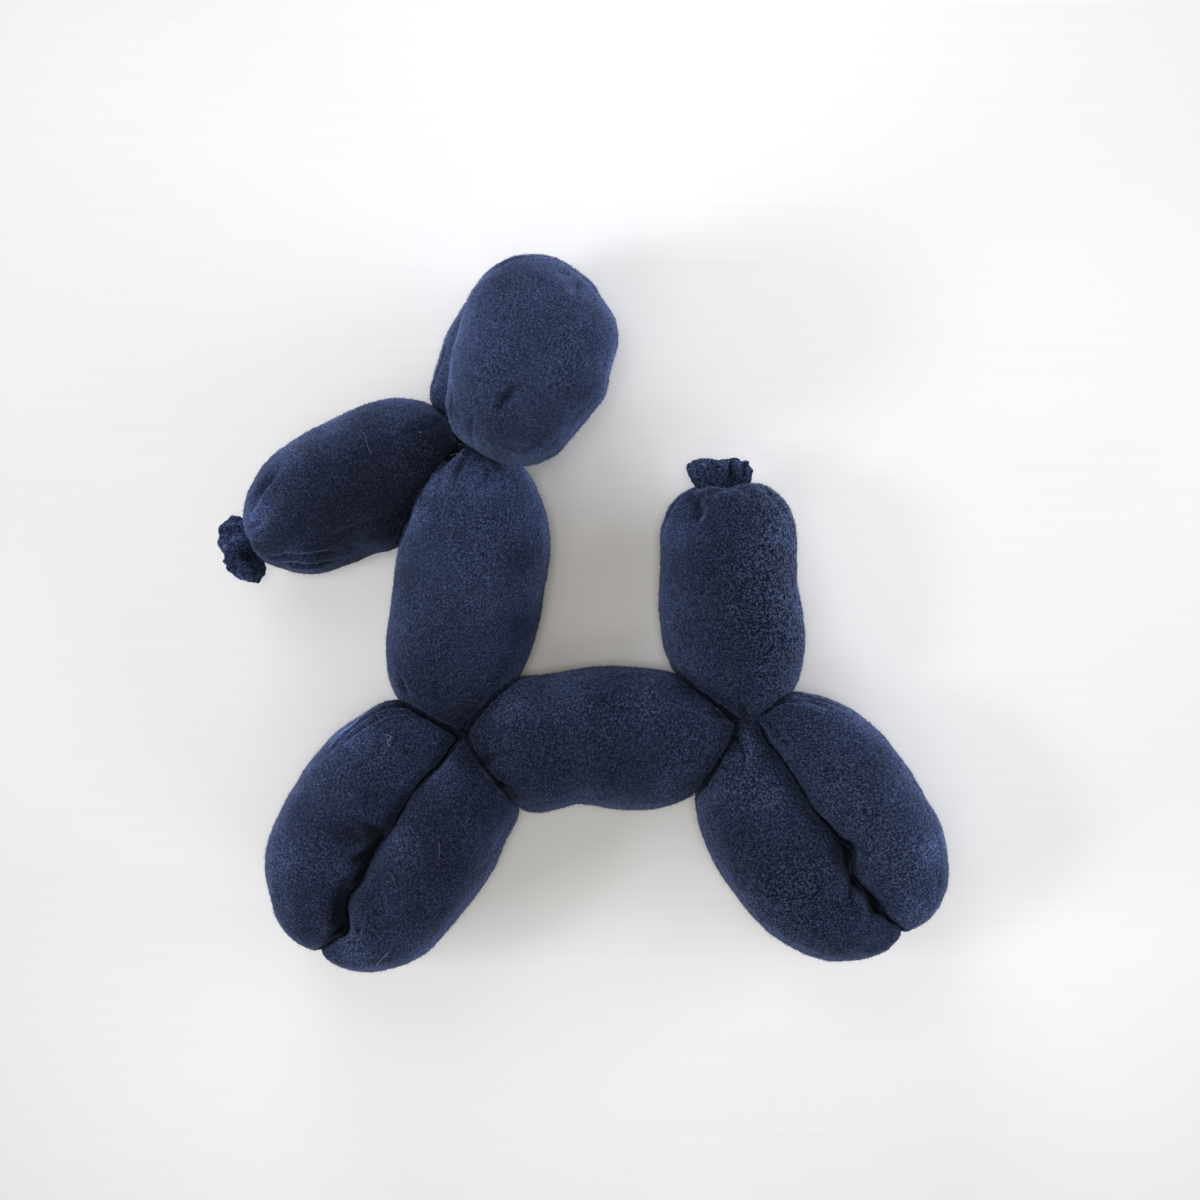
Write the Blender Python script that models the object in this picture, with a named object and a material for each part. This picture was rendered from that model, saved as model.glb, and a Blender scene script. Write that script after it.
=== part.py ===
# Balloon dog: a stuffed fleece tube, cinched into ten lobes and folded into a dog lying on its side.
# The dog lies in the XY plane: nose towards -X, ears and tail towards +Y, upper flank facing +Z.
from collections import namedtuple
from math import cos, exp, pi, radians, sin

import bmesh
import bpy
from mathutils import Matrix, Vector

# A side says how far a lobe swells from the straight line between its two knots.
# reach is the swelling at the widest place, widest is that place as a share of the length, and start and
# end are the fullness towards the two knots: 2 is a quarter of an ellipse, and a higher number is blunter.
Side = namedtuple("Side", "reach widest start end")

# A lobe is one swollen length of the tube, with its two knots and its four sides.
Lobe = namedtuple("Lobe", "name start end left right top bottom")

# Lengths between knots, in metres, and the directions in which they lie, in degrees
BODY_LENGTH = 0.1022
BODY_ANGLE = 2.7
NECK_LENGTH = 0.1075
NECK_ANGLE = 90.4
MUZZLE_LENGTH = 0.0878
MUZZLE_ANGLE = 205.6
EAR_LENGTH = 0.0757
EAR_ANGLE = 56.7
TAIL_LENGTH = 0.0880
TAIL_ANGLE = 94.8
FRONT_LEG_LENGTH = 0.0939
FRONT_LEG_ANGLE = 235.4
HIND_LEG_LENGTH = 0.0961
HIND_LEG_ANGLE = 307.5

# Heights above the table, where the dog's own weight presses every lobe a little flat below
TUBE_HEIGHT = 0.0560
EAR_HEIGHT = 0.0520
PRESSED = 0.0032
KNOT_HEIGHT = TUBE_HEIGHT * 0.48
HEAD_HEIGHT = EAR_HEIGHT * 0.81
EAR_TIP_HEIGHT = EAR_HEIGHT * 1.04

# How far each lobe swells to the left and right of its line, seen from its first knot
NECK_LEFT = Side(0.0282, 0.23, 2.15, 2.14)
NECK_RIGHT = Side(0.0311, 0.65, 1.86, 2.23)
MUZZLE_LEFT = Side(0.0244, 0.38, 2.00, 2.36)
MUZZLE_RIGHT = Side(0.0282, 0.50, 2.77, 2.09)
EAR_LEFT = Side(0.0238, 0.60, 1.90, 1.90)
EAR_RIGHT = Side(0.0368, 0.49, 2.60, 1.97)
BODY_LEFT = Side(0.0220, 0.53, 2.49, 1.85)
BODY_RIGHT = Side(0.0305, 0.67, 3.60, 1.86)
TAIL_LEFT = Side(0.0264, 0.37, 1.88, 3.29)
TAIL_RIGHT = Side(0.0252, 0.41, 2.45, 4.10)
FRONT_LEG_SIDES = (Side(0.0371, 0.56, 2.60, 2.27), Side(0.0405, 0.55, 3.28, 2.18))
HIND_LEG_SIDES = (Side(0.0375, 0.49, 2.66, 2.43), Side(0.0410, 0.54, 2.50, 2.29))

# Two lobes pressed together, as in a pair of legs or the two stacked ears
LOWER_EAR_SHIFT = 0.0042
LOWER_EAR_FULLNESS = 2.2
PRESS_OVERLAP = 0.0015
TWIN_SIDES = {None: (0, 0), "left": (1, 0), "right": (-1, 0), "top": (0, 1), "bottom": (0, -1)}

# The crease between a pair of legs: how far it bows and waves to the left of the line from knot to foot
FRONT_CREASE = (-0.0040, -0.0015)
HIND_CREASE = (-0.0005, 0.0028)

# How far a pair's end bulges past its last knot
FOOT_OVERSHOOT = 0.0048
EAR_OVERSHOOT = 0.0008

# The pinch at the far end of a pair pulls both ends inwards, and the pinch at nose and tail a little less
NAVEL_DEPTH = 0.0055
NAVEL_RADIUS = 0.0065
COLLAR_NAVEL_DEPTH = 0.0030

# The bunched cloth inside each knot, and how far a lobe's end runs past it
KNOT_RADIUS = 0.0072
KNOT_OVERLAP = 0.0015

# The gathered collars at the nose and at the tip of the tail
CUFF_WIDTH = 0.0240
CUFF_THICKNESS = 0.0165
NOSE_CUFF_LENGTH = 0.0092
TAIL_CUFF_LENGTH = 0.0092
CUFF_NECK = 0.0080
CUFF_HOLLOW = 0.0035
CUFF_PLEATS = 6
CUFF_PLEAT_DEPTH = 0.07

# A collar's outline, as shares of its length and how far it has opened there
CUFF_FLARE = (
    (-0.40, 0.0), (0.10, 0.0), (0.25, 0.25), (0.45, 0.75),
    (0.75, 1.0), (0.95, 0.95), (1.0, 0.8), (0.9, 0.4),
)

# Roundness of a lobe's cross-section on its free side, and on a side pressed against its twin
ROUND = 2.15
FLAT = 3.0

# Soft pleats that run out of each knot
PLEAT_COUNT = 6
PLEAT_DEPTH = 0.06
PLEAT_RUN = 0.012

# A fold is a sunken crease in the cloth's upper face, and a hole is a deeper one: width and depth
FOLD = (0.0055, 0.0028)
HOLE = (0.0060, 0.0070)

RINGS = 17
AROUND = 24

# Points closer together than this after the joins are one point
SAME_POINT = 0.00002


def swelling(side, share):
    """How far a lobe reaches on one side, at a share of its length."""
    if share < side.widest:
        away = (side.widest - share) / side.widest
        fullness = side.start
    else:
        away = (share - side.widest) / (1 - side.widest)
        fullness = side.end
    return side.reach * max(0.0, 1 - min(away, 1.0) ** fullness) ** (1 / fullness)


def rounded(value, roundness):
    """A sine or cosine bent to a superellipse of the given roundness."""
    return (abs(value) ** (2 / roundness)) * (1 if value >= 0 else -1)


def knot_at(start, length, angle, height):
    """The next knot of the chain, at a length and direction from the last, at its own height."""
    return Vector((
        start.x + length * cos(radians(angle)),
        start.y + length * sin(radians(angle)),
        height,
    ))


def lobe_axes(lobe):
    """A lobe's own directions: along its line, across to its left, and up."""
    along = (lobe.end - lobe.start).normalized()
    across = Vector((-along.y, along.x, 0)).normalized()
    return along, across, along.cross(across)


def new_object(name, mesh_data):
    """Turns finished mesh data into an object in the scene."""
    bmesh.ops.recalc_face_normals(mesh_data, faces=mesh_data.faces)
    mesh = bpy.data.meshes.new(name)
    mesh_data.to_mesh(mesh)
    mesh_data.free()
    obj = bpy.data.objects.new(name, mesh)
    bpy.context.scene.collection.objects.link(obj)
    return obj


def closed_tube(name, rings, start_point, end_point):
    """Bridges rings of points into a tube that closes at a point on each end."""
    mesh_data = bmesh.new()
    loops = [[mesh_data.verts.new(point) for point in ring] for ring in rings]
    count = len(loops[0])
    first = mesh_data.verts.new(start_point)
    last = mesh_data.verts.new(end_point)
    for i in range(count):
        j = (i + 1) % count
        mesh_data.faces.new((first, loops[0][j], loops[0][i]))
        mesh_data.faces.new((last, loops[-1][i], loops[-1][j]))
        for near, far in zip(loops, loops[1:]):
            mesh_data.faces.new((near[i], near[j], far[j], far[i]))
    return new_object(name, mesh_data)


def make_lobe(lobe, overshoot, navel=0.0, flat_side=None, bow=0.0, wave=0.0):
    """Builds one lobe.

    overshoot is how far its end bulges past its last knot, and navel how deep the pinch there pulls in.
    flat_side names the side that lies against a twin, which bow and wave bend sideways.
    """
    along, across, up = lobe_axes(lobe)
    length = (lobe.end - lobe.start).length
    over_left, over_up = TWIN_SIDES[flat_side]
    offset = 0.5 if flat_side in ("top", "left") else 0.0
    first = -KNOT_OVERLAP / length
    last = 1 + overshoot / length

    def place(share, out_left, out_up):
        spread = (out_left ** 2 + out_up ** 2) / NAVEL_RADIUS ** 2
        near_end = max(0.0, min(1.0, (share - 0.8) / 0.2))
        pull = navel * exp(-spread) * near_end
        return lobe.start + along * (share * length - pull) + across * out_left + up * out_up

    def ring_at(share):
        scaled = (share - first) / (last - first)
        reach = {side: swelling(getattr(lobe, side), scaled) for side in ("left", "right", "top", "bottom")}
        half_width = (reach["left"] + reach["right"]) / 2
        half_height = (reach["top"] + reach["bottom"]) / 2
        bend = bow * sin(pi * scaled) + wave * sin(2 * pi * scaled)
        from_knot = min(scaled, 1 - scaled) * length
        pleat = PLEAT_DEPTH * exp(-(from_knot / PLEAT_RUN) ** 2)
        points = []
        for step in range(AROUND):
            turn = 2 * pi * (step + offset) / AROUND
            facing = ("left" if cos(turn) >= 0 else "right", "top" if sin(turn) >= 0 else "bottom")
            roundness = FLAT if flat_side in facing else ROUND
            towards_twin = over_left * cos(turn) + over_up * sin(turn)
            loose = 1 - max(0.0, towards_twin) ** 2
            fold = 1 - pleat * loose * (1 - cos(PLEAT_COUNT * turn)) / 2
            points.append(place(
                share,
                reach["left"] - half_width + half_width * rounded(cos(turn), roundness) * fold
                + bend * (1 + towards_twin) / 2,
                reach["top"] - half_height + half_height * rounded(sin(turn), roundness) * fold,
            ))
        return points

    shares = [first + (last - first) * (1 - cos(pi * ring / RINGS)) / 2 for ring in range(1, RINGS)]
    rings = [ring_at(share) for share in shares]
    tip = place(last, over_left * PRESS_OVERLAP, over_up * PRESS_OVERLAP)
    return closed_tube(lobe.name, rings, place(first, 0, 0), tip)


def cuff(name, knot, angle, length):
    """The gathered collar past the tube's last knot: a pleated flare with a shallow hollow mouth."""
    along = Vector((cos(radians(angle)), sin(radians(angle)), 0))
    across = Vector((-along.y, along.x, 0))
    rings = []
    for share, opened in CUFF_FLARE:
        half_width = CUFF_NECK + (CUFF_WIDTH / 2 - CUFF_NECK) * opened
        half_thickness = CUFF_NECK + (CUFF_THICKNESS / 2 - CUFF_NECK) * opened
        points = []
        for step in range(AROUND):
            turn = 2 * pi * step / AROUND
            pleat = 1 + CUFF_PLEAT_DEPTH * opened * cos(CUFF_PLEATS * turn)
            sideways = across * (half_width * cos(turn) * pleat)
            upwards = Vector((0, 0, half_thickness * sin(turn) * pleat))
            points.append(knot + along * (share * length) + sideways + upwards)
        rings.append(points)
    return closed_tube(name, rings, knot - along * (0.5 * length), knot + along * (length - CUFF_HOLLOW))


def make_knot(name, place):
    """The bunched cloth where the tube is cinched, hidden between the lobes."""
    mesh_data = bmesh.new()
    bmesh.ops.create_icosphere(mesh_data, subdivisions=2, radius=KNOT_RADIUS)
    bmesh.ops.translate(mesh_data, vec=place, verts=mesh_data.verts)
    return new_object(name, mesh_data)


def make_pinch(name, pinch, inner):
    """The bunched cloth behind the pinch at the far end of a pair, towards the pair's inner knot."""
    inwards = (inner - pinch).normalized()
    return make_knot(name, pinch + inwards * (KNOT_RADIUS + NAVEL_DEPTH / 2))


def fold_cutter(name, lobe, share, sideways, length, width, sink, turned):
    """A long hollow in a lobe's upper face, at a share of its length and beside its line.

    turned is the fold's own direction in degrees from the lobe's line, and sink is how deep it goes.
    """
    along, across, up = lobe_axes(lobe)
    left = swelling(lobe.left, share)
    right = swelling(lobe.right, share)
    middle = (left - right) / 2
    out = min(1.0, abs(sideways - middle) / ((left + right) / 2))
    half_height = (swelling(lobe.top, share) + swelling(lobe.bottom, share)) / 2
    level = swelling(lobe.top, share) - half_height + half_height * (1 - out ** ROUND) ** (1 / ROUND)
    place = lobe.start + (lobe.end - lobe.start) * share + across * sideways + up * level
    mesh_data = bmesh.new()
    bmesh.ops.create_icosphere(mesh_data, subdivisions=2, radius=1.0)
    bmesh.ops.scale(mesh_data, vec=(length / 2, width / 2, sink), verts=mesh_data.verts)
    frame = Matrix((along, across, up)).transposed() @ Matrix.Rotation(radians(turned), 3, "Z")
    bmesh.ops.transform(mesh_data, matrix=Matrix.Translation(place) @ frame.to_4x4(), verts=mesh_data.verts)
    return new_object(name, mesh_data)


def table_cutter(reach):
    """Everything below the table top, cut away to leave flat undersides."""
    mesh_data = bmesh.new()
    bmesh.ops.create_cube(mesh_data, size=1.0)
    bmesh.ops.scale(mesh_data, vec=(2 * reach, 2 * reach, reach), verts=mesh_data.verts)
    bmesh.ops.translate(mesh_data, vec=(0, 0, -reach / 2), verts=mesh_data.verts)
    return new_object("table_cutter", mesh_data)


def combine(obj, other, operation):
    """Joins another closed shape to an object, or cuts it away."""
    modifier = obj.modifiers.new(other.name, "BOOLEAN")
    modifier.operation = operation
    modifier.solver = "EXACT"
    modifier.object = other
    other.hide_render = True
    other.display_type = "WIRE"


def fleece():
    """Navy fleece: nearly black blue, with no shine."""
    material = bpy.data.materials.new("navy_fleece")
    material.use_nodes = True
    shader = material.node_tree.nodes["Principled BSDF"]
    shader.inputs["Base Color"].default_value = (0.024, 0.032, 0.075, 1)
    shader.inputs["Roughness"].default_value = 0.95
    shader.inputs["Metallic"].default_value = 0.0
    return material


def lying_sides(start, end):
    """Top and bottom sides of a lobe that lies on the table between two knots."""
    middle = (start.z + end.z) / 2
    return Side(TUBE_HEIGHT - middle, 0.5, 2.2, 2.2), Side(middle + PRESSED, 0.5, 2.3, 2.3)


def lying_lobe(name, start, end, left, right):
    """A lobe that lies on the table."""
    return Lobe(name, start, end, left, right, *lying_sides(start, end))


def balloon_dog():
    """All the lobes, knots and collars as one closed shape, with the helpers that it is made from."""
    shoulder = Vector((0, 0, KNOT_HEIGHT))
    hip = knot_at(shoulder, BODY_LENGTH, BODY_ANGLE, KNOT_HEIGHT)
    head = knot_at(shoulder, NECK_LENGTH, NECK_ANGLE, HEAD_HEIGHT)
    nose = knot_at(head, MUZZLE_LENGTH, MUZZLE_ANGLE, KNOT_HEIGHT)
    ear_tip = knot_at(head, EAR_LENGTH, EAR_ANGLE, EAR_TIP_HEIGHT)
    tail_tip = knot_at(hip, TAIL_LENGTH, TAIL_ANGLE, KNOT_HEIGHT)
    front_foot = knot_at(shoulder, FRONT_LEG_LENGTH, FRONT_LEG_ANGLE, KNOT_HEIGHT)
    hind_foot = knot_at(hip, HIND_LEG_LENGTH, HIND_LEG_ANGLE, KNOT_HEIGHT)

    body = lying_lobe("body", shoulder, hip, BODY_LEFT, BODY_RIGHT)
    neck = lying_lobe("neck", shoulder, head, NECK_LEFT, NECK_RIGHT)
    muzzle = lying_lobe("muzzle", head, nose, MUZZLE_LEFT, MUZZLE_RIGHT)
    tail = lying_lobe("tail", hip, tail_tip, TAIL_LEFT, TAIL_RIGHT)

    # The two ears lie one on the other, and meet in a level plane between them
    ear_line = (HEAD_HEIGHT + EAR_TIP_HEIGHT) / 2
    contact = EAR_HEIGHT - ear_line
    upper_ear = Lobe(
        "upper_ear", head, ear_tip, EAR_LEFT, EAR_RIGHT,
        Side(2 * EAR_HEIGHT - ear_line, 0.5, 2.2, 2.2), Side(PRESS_OVERLAP - contact, 0.5, 2.0, 2.0),
    )
    lower_ear = Lobe(
        "lower_ear", head, ear_tip,
        EAR_LEFT._replace(reach=EAR_LEFT.reach + LOWER_EAR_SHIFT),
        EAR_RIGHT._replace(reach=EAR_RIGHT.reach - LOWER_EAR_SHIFT, start=LOWER_EAR_FULLNESS),
        Side(PRESS_OVERLAP + contact, 0.5, 2.0, 2.0), Side(ear_line + PRESSED, 0.5, 2.4, 2.4),
    )

    # Each pair of legs is two lobes side by side, pressed together along the line from knot to foot
    touching = Side(PRESS_OVERLAP, 0.5, 2.0, 2.0)
    front_left = lying_lobe("front_left_leg", shoulder, front_foot, FRONT_LEG_SIDES[0], touching)
    front_right = lying_lobe("front_right_leg", shoulder, front_foot, touching, FRONT_LEG_SIDES[1])
    hind_left = lying_lobe("hind_left_leg", hip, hind_foot, HIND_LEG_SIDES[0], touching)
    hind_right = lying_lobe("hind_right_leg", hip, hind_foot, touching, HIND_LEG_SIDES[1])

    dog = make_lobe(body, KNOT_OVERLAP)
    dog.name = "balloon_dog"
    joined = [
        make_knot("shoulder_knot", shoulder),
        make_knot("hip_knot", hip),
        make_knot("head_knot", head),
        make_pinch("front_foot_pinch", front_foot, shoulder),
        make_pinch("hind_foot_pinch", hind_foot, hip),
        make_pinch("ear_tip_pinch", ear_tip, head),
        make_lobe(neck, KNOT_OVERLAP),
        make_lobe(muzzle, 0.0, COLLAR_NAVEL_DEPTH),
        make_lobe(tail, 0.0, COLLAR_NAVEL_DEPTH),
        make_lobe(upper_ear, EAR_OVERSHOOT, NAVEL_DEPTH, "bottom"),
        make_lobe(lower_ear, EAR_OVERSHOOT, NAVEL_DEPTH, "top"),
        make_lobe(front_left, FOOT_OVERSHOOT, NAVEL_DEPTH, "right", *FRONT_CREASE),
        make_lobe(front_right, FOOT_OVERSHOOT, NAVEL_DEPTH, "left", *FRONT_CREASE),
        make_lobe(hind_left, FOOT_OVERSHOOT, NAVEL_DEPTH, "right", *HIND_CREASE),
        make_lobe(hind_right, FOOT_OVERSHOOT, NAVEL_DEPTH, "left", *HIND_CREASE),
        cuff("nose_cuff", nose, MUZZLE_ANGLE, NOSE_CUFF_LENGTH),
        cuff("tail_cuff", tail_tip, TAIL_ANGLE, TAIL_CUFF_LENGTH),
    ]

    # Creases and small holes that the cinching leaves in the upper faces
    cloth = {obj.name: obj for obj in joined}
    folds = []
    for name, lobe, share, sideways, length, turned, (width, sink) in (
        ("tail_fold", tail, 0.89, 0.0130, 0.0150, 8, FOLD),
        ("nose_fold", muzzle, 0.84, -0.0120, 0.0200, 14, FOLD),
        ("muzzle_fold", muzzle, 0.62, 0.0185, 0.0360, -14, FOLD),
        ("ear_dimple", upper_ear, 0.26, -0.0125, 0.0150, 5, FOLD),
        ("neck_fold", neck, 0.90, -0.0015, 0.0140, -14, FOLD),
        ("front_leg_hole", front_right, 0.52, -0.0050, 0.0120, 10, HOLE),
        ("front_foot_hole", front_left, 0.80, 0.0010, 0.0160, 35, HOLE),
        ("hind_leg_hole", hind_right, 0.66, -0.0020, 0.0130, 20, HOLE),
        ("hind_foot_hole", hind_right, 0.86, -0.0045, 0.0110, 10, HOLE),
    ):
        cutter = fold_cutter(name, lobe, share, sideways, length, width, sink, turned)
        combine(cloth[lobe.name], cutter, "DIFFERENCE")
        folds.append(cutter)

    for other in joined:
        combine(dog, other, "UNION")
    table = table_cutter(BODY_LENGTH + NECK_LENGTH + EAR_LENGTH + MUZZLE_LENGTH)
    combine(dog, table, "DIFFERENCE")
    return dog, joined + folds + [table]


def remove_flaps(mesh_data):
    """Deletes flaps with no thickness: two triangles on the same three points."""
    by_corners = {}
    for face in mesh_data.faces:
        by_corners.setdefault(frozenset(face.verts), []).append(face)
    flaps = [face for faces in by_corners.values() if len(faces) > 1 for face in faces]
    bmesh.ops.delete(mesh_data, geom=flaps, context="FACES")


def settle(dog, helpers):
    """Fixes the combined shape and puts the origin under the middle of its bounding box."""
    bpy.context.view_layer.update()
    depsgraph = bpy.context.evaluated_depsgraph_get()
    shape = bpy.data.meshes.new_from_object(dog.evaluated_get(depsgraph))
    dog.modifiers.clear()
    dog.data = shape
    for helper in helpers:
        bpy.data.objects.remove(helper)
    mesh_data = bmesh.new()
    mesh_data.from_mesh(shape)
    bmesh.ops.remove_doubles(mesh_data, verts=mesh_data.verts, dist=SAME_POINT)
    bmesh.ops.dissolve_degenerate(mesh_data, edges=mesh_data.edges, dist=SAME_POINT)
    bmesh.ops.triangulate(mesh_data, faces=mesh_data.faces)
    remove_flaps(mesh_data)
    mesh_data.to_mesh(shape)
    mesh_data.free()
    corners = [vertex.co for vertex in shape.vertices]
    middle_x = (min(corner.x for corner in corners) + max(corner.x for corner in corners)) / 2
    middle_y = (min(corner.y for corner in corners) + max(corner.y for corner in corners)) / 2
    shape.transform(Matrix.Translation((-middle_x, -middle_y, 0)))
    shape.shade_smooth()
    shape.set_sharp_from_angle(angle=radians(40))
    shape.materials.clear()
    shape.materials.append(fleece())


for leftover in list(bpy.data.objects):
    bpy.data.objects.remove(leftover)
settle(*balloon_dog())
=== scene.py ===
import math

import bpy
import numpy as np
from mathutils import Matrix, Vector
from mathutils.bvhtree import BVHTree


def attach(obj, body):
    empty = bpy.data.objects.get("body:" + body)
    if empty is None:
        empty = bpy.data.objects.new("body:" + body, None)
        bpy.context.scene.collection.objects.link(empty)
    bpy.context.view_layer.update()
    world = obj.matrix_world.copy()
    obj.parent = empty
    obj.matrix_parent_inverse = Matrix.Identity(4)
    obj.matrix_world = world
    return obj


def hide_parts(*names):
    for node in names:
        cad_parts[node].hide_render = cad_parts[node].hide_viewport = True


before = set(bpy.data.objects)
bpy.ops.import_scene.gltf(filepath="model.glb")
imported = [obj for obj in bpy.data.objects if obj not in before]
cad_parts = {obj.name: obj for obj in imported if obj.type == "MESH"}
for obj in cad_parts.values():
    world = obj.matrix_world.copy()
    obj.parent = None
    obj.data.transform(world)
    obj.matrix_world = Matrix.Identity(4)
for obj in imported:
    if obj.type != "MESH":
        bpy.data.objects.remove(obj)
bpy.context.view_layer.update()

# A navy fleece tube, stuffed, cinched into lobes and folded into a dog that lies on its side.
# Lengths are in metres and directions in degrees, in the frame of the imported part.

chain = dict(
    shoulder=(-0.04232, -0.04446),
    tubeHeight=0.0560,       # a lobe's thickness as it lies
    earHeight=0.0520,
    knotRise=0.48, headRise=0.81, earTipRise=1.04,      # heights of the knots as shares of a lobe's thickness
    pressed=0.0032,          # how much the table flattens each lobe
    knotOverlap=0.0015,      # a lobe starts this far behind its knot
    twinOverlap=0.0015,      # twins press into each other this much
    roundness=2.15,          # of a lobe's cross-section, where 2 is an ellipse
    closing=0.08,            # trims fade over this share of the length at both ends
)


def knotFrom(start, length, angle, height):
    turn = math.radians(angle)
    return np.array((start[0] + length * math.cos(turn), start[1] + length * math.sin(turn), height))


knotHeight = chain["tubeHeight"] * chain["knotRise"]
headHeight = chain["earHeight"] * chain["headRise"]
earTipHeight = chain["earHeight"] * chain["earTipRise"]
shoulder = np.array((*chain["shoulder"], knotHeight))
hip = knotFrom(shoulder, 0.1022, 2.7, knotHeight)
head = knotFrom(shoulder, 0.1075, 90.4, headHeight)
nose = knotFrom(head, 0.0878, 205.6, knotHeight)
earTip = knotFrom(head, 0.0757, 56.7, earTipHeight)
tailTip = knotFrom(hip, 0.0880, 94.8, knotHeight)
frontFoot = knotFrom(shoulder, 0.0939, 235.4, knotHeight)
hindFoot = knotFrom(hip, 0.0961, 307.5, knotHeight)


# ---- helpers

def unit(vectors):
    return vectors / np.maximum(np.linalg.norm(vectors, axis=-1, keepdims=True), 1e-12)


def bell(away, width=1.0):
    # 1 at no distance, and next to 0 from two widths on
    return np.exp(-(away / width) ** 2)


def wrapped(angle):
    return (angle + 180) % 360 - 180


def quadBall(cells):
    # a cube's six faces, each cells x cells, blown up to a unit ball with even quads
    steps = np.tan(np.linspace(-math.pi / 4, math.pi / 4, cells + 1))
    a, b = np.meshgrid(steps, steps, indexing="ij")
    one = np.ones_like(a)
    sides = [(one, a, b), (-one, b, a), (b, one, a), (a, -one, b), (a, b, one), (b, a, -one)]
    spots = np.concatenate([np.stack(side, -1).reshape(-1, 3) for side in sides])
    keys = np.round(spots * 1e6).astype(np.int64)
    _, firstSeen, which = np.unique(keys, axis=0, return_index=True, return_inverse=True)
    i, j = np.meshgrid(np.arange(cells), np.arange(cells), indexing="ij")
    corner = (i * (cells + 1) + j).reshape(-1)
    quad = np.stack([corner, corner + cells + 1, corner + cells + 2, corner + 1], 1)
    quads = np.concatenate([which.reshape(-1)[quad + side * (cells + 1) ** 2] for side in range(6)])
    return unit(spots[firstSeen]), quads


def normalsOf(points, quads):
    a, b, c, d = points[quads].swapaxes(0, 1)
    faceNormals = np.cross(c - a, d - b)
    normals = np.zeros_like(points)
    for k in range(4):
        np.add.at(normals, quads[:, k], faceNormals)
    return unit(normals)


def latticeNoise(points, cell, seed):
    # smooth noise from -1 to 1, cell is the size of a clump in metres, or its sizes along x, y and z
    at = points / np.asarray(cell, float) + seed * 17.31
    base = np.floor(at)
    part = at - base
    ease = part * part * part * (part * (part * 6 - 15) + 10)
    mixer, lowBits = np.array((374761393, 668265263, 2147483647)), 0xFFFFFFFF
    total = np.zeros(len(points))
    for corner in np.ndindex(2, 2, 2):
        n = ((base.astype(np.int64) + corner) @ mixer + seed * 1442695040888963) & lowBits
        for shift, spread in ((13, 1274126177), (16, 2654435761)):
            n = ((n ^ (n >> shift)) * spread) & lowBits
        total += (n / lowBits * 2 - 1) * np.prod(np.abs(1 - np.array(corner) - ease), axis=1)
    return total


def smoothLine(knots, at):
    # a smooth curve through (share, value) pairs, level past its ends
    shares, values = np.array(knots, float).T
    slopes = np.gradient(values, shares)
    at = np.clip(at, shares[0], shares[-1])
    k = np.clip(np.searchsorted(shares, at) - 1, 0, len(shares) - 2)
    width = shares[k + 1] - shares[k]
    t = (at - shares[k]) / width
    return ((2 * t**3 - 3 * t**2 + 1) * values[k] + (t**3 - 2 * t**2 + t) * width * slopes[k]
            + (3 * t**2 - 2 * t**3) * values[k + 1] + (t**3 - t**2) * width * slopes[k + 1])


def nearestOn(stretches):
    # distance to a bent line, and the share of the line where it is nearest. Each stretch of the line holds
    # x and y from its start to the points, and its own x and y.
    nearest, share = 1e9, 0.0
    for k, (x, y, dx, dy) in enumerate(stretches):
        t = np.clip((x * dx + y * dy) / (dx * dx + dy * dy + 1e-12), 0, 1)
        away = np.hypot(x - t * dx, y - t * dy)
        share = np.where(away < nearest, (k + t) / len(stretches), share)
        nearest = np.minimum(away, nearest)
    return nearest, share


def placed(name, data):
    thing = bpy.data.objects.new(name, data)
    bpy.context.scene.collection.objects.link(thing)
    return thing


def newPiece(name, points, faces, material=None):
    mesh = bpy.data.meshes.new(name)
    mesh.from_pydata(points.tolist(), [], faces.tolist() if hasattr(faces, "tolist") else faces)
    mesh.shade_smooth()
    if material:
        mesh.materials.append(material)
    return placed(name, mesh)


def readOut(rows, what, width=3):
    # one property of all points or corners of a mesh as an array
    values = np.zeros(len(rows) * width, np.int64 if width == 1 else float)
    rows.foreach_get(what, values)
    return values.reshape(-1, 3) if width == 3 else values


def dress(piece):
    # every piece of cloth lies in the place of the one CAD node and rides with it
    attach(piece, "root")
    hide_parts("balloon_dog")


def feed(material, node, inputs):
    # inputs are plain values or outputs of other nodes
    for which, value in inputs.items():
        if isinstance(value, bpy.types.NodeSocket):
            material.node_tree.links.new(value, node.inputs[which])
        else:
            node.inputs[which].default_value = value


def surface(material, inputs):
    feed(material, material.node_tree.nodes["Principled BSDF"], inputs)


def newMaterial(name, inputs):
    material = bpy.data.materials.new(name)
    material.use_nodes = True
    surface(material, inputs)
    return material


def addNode(material, kind, inputs=(), output=0, **settings):
    # gives the new node's output
    node = material.node_tree.nodes.new("ShaderNode" + kind)
    for which, value in settings.items():
        setattr(node, which, value)
    feed(material, node, dict(inputs))
    return node.outputs[output]


def maths(material, operation, *values, **settings):
    return addNode(material, "Math", enumerate(values), operation=operation, **settings)


def scaledColour(material, colour, scale):
    return addNode(material, "VectorMath", {0: colour, "Scale": scale}, operation="SCALE")


def ramped(material, amount, stops):
    # colours between the stops, which are (position, colour)
    output = addNode(material, "ValToRGB", {"Fac": amount})
    elements = output.node.color_ramp.elements
    elements[0].position, elements[1].position = stops[0][0], stops[-1][0]
    for position, colour in stops[1:-1]:
        elements.new(position)
    for element, (position, colour) in zip(elements, stops):
        element.color = (*colour, 1)
    return output


# ---- the lobes' shape

def swelling(side, share):
    reach, widest, fullStart, fullEnd = side
    before = share < widest
    away = np.where(before, (widest - share) / widest, (share - widest) / (1 - widest))
    fullness = np.where(before, fullStart, fullEnd)
    return reach * np.maximum(0.0, 1 - np.minimum(np.abs(away), 1.0) ** fullness) ** (1 / fullness)


def rounded(value, roundness):
    return np.abs(value) ** (2 / roundness) * np.sign(value)


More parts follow.
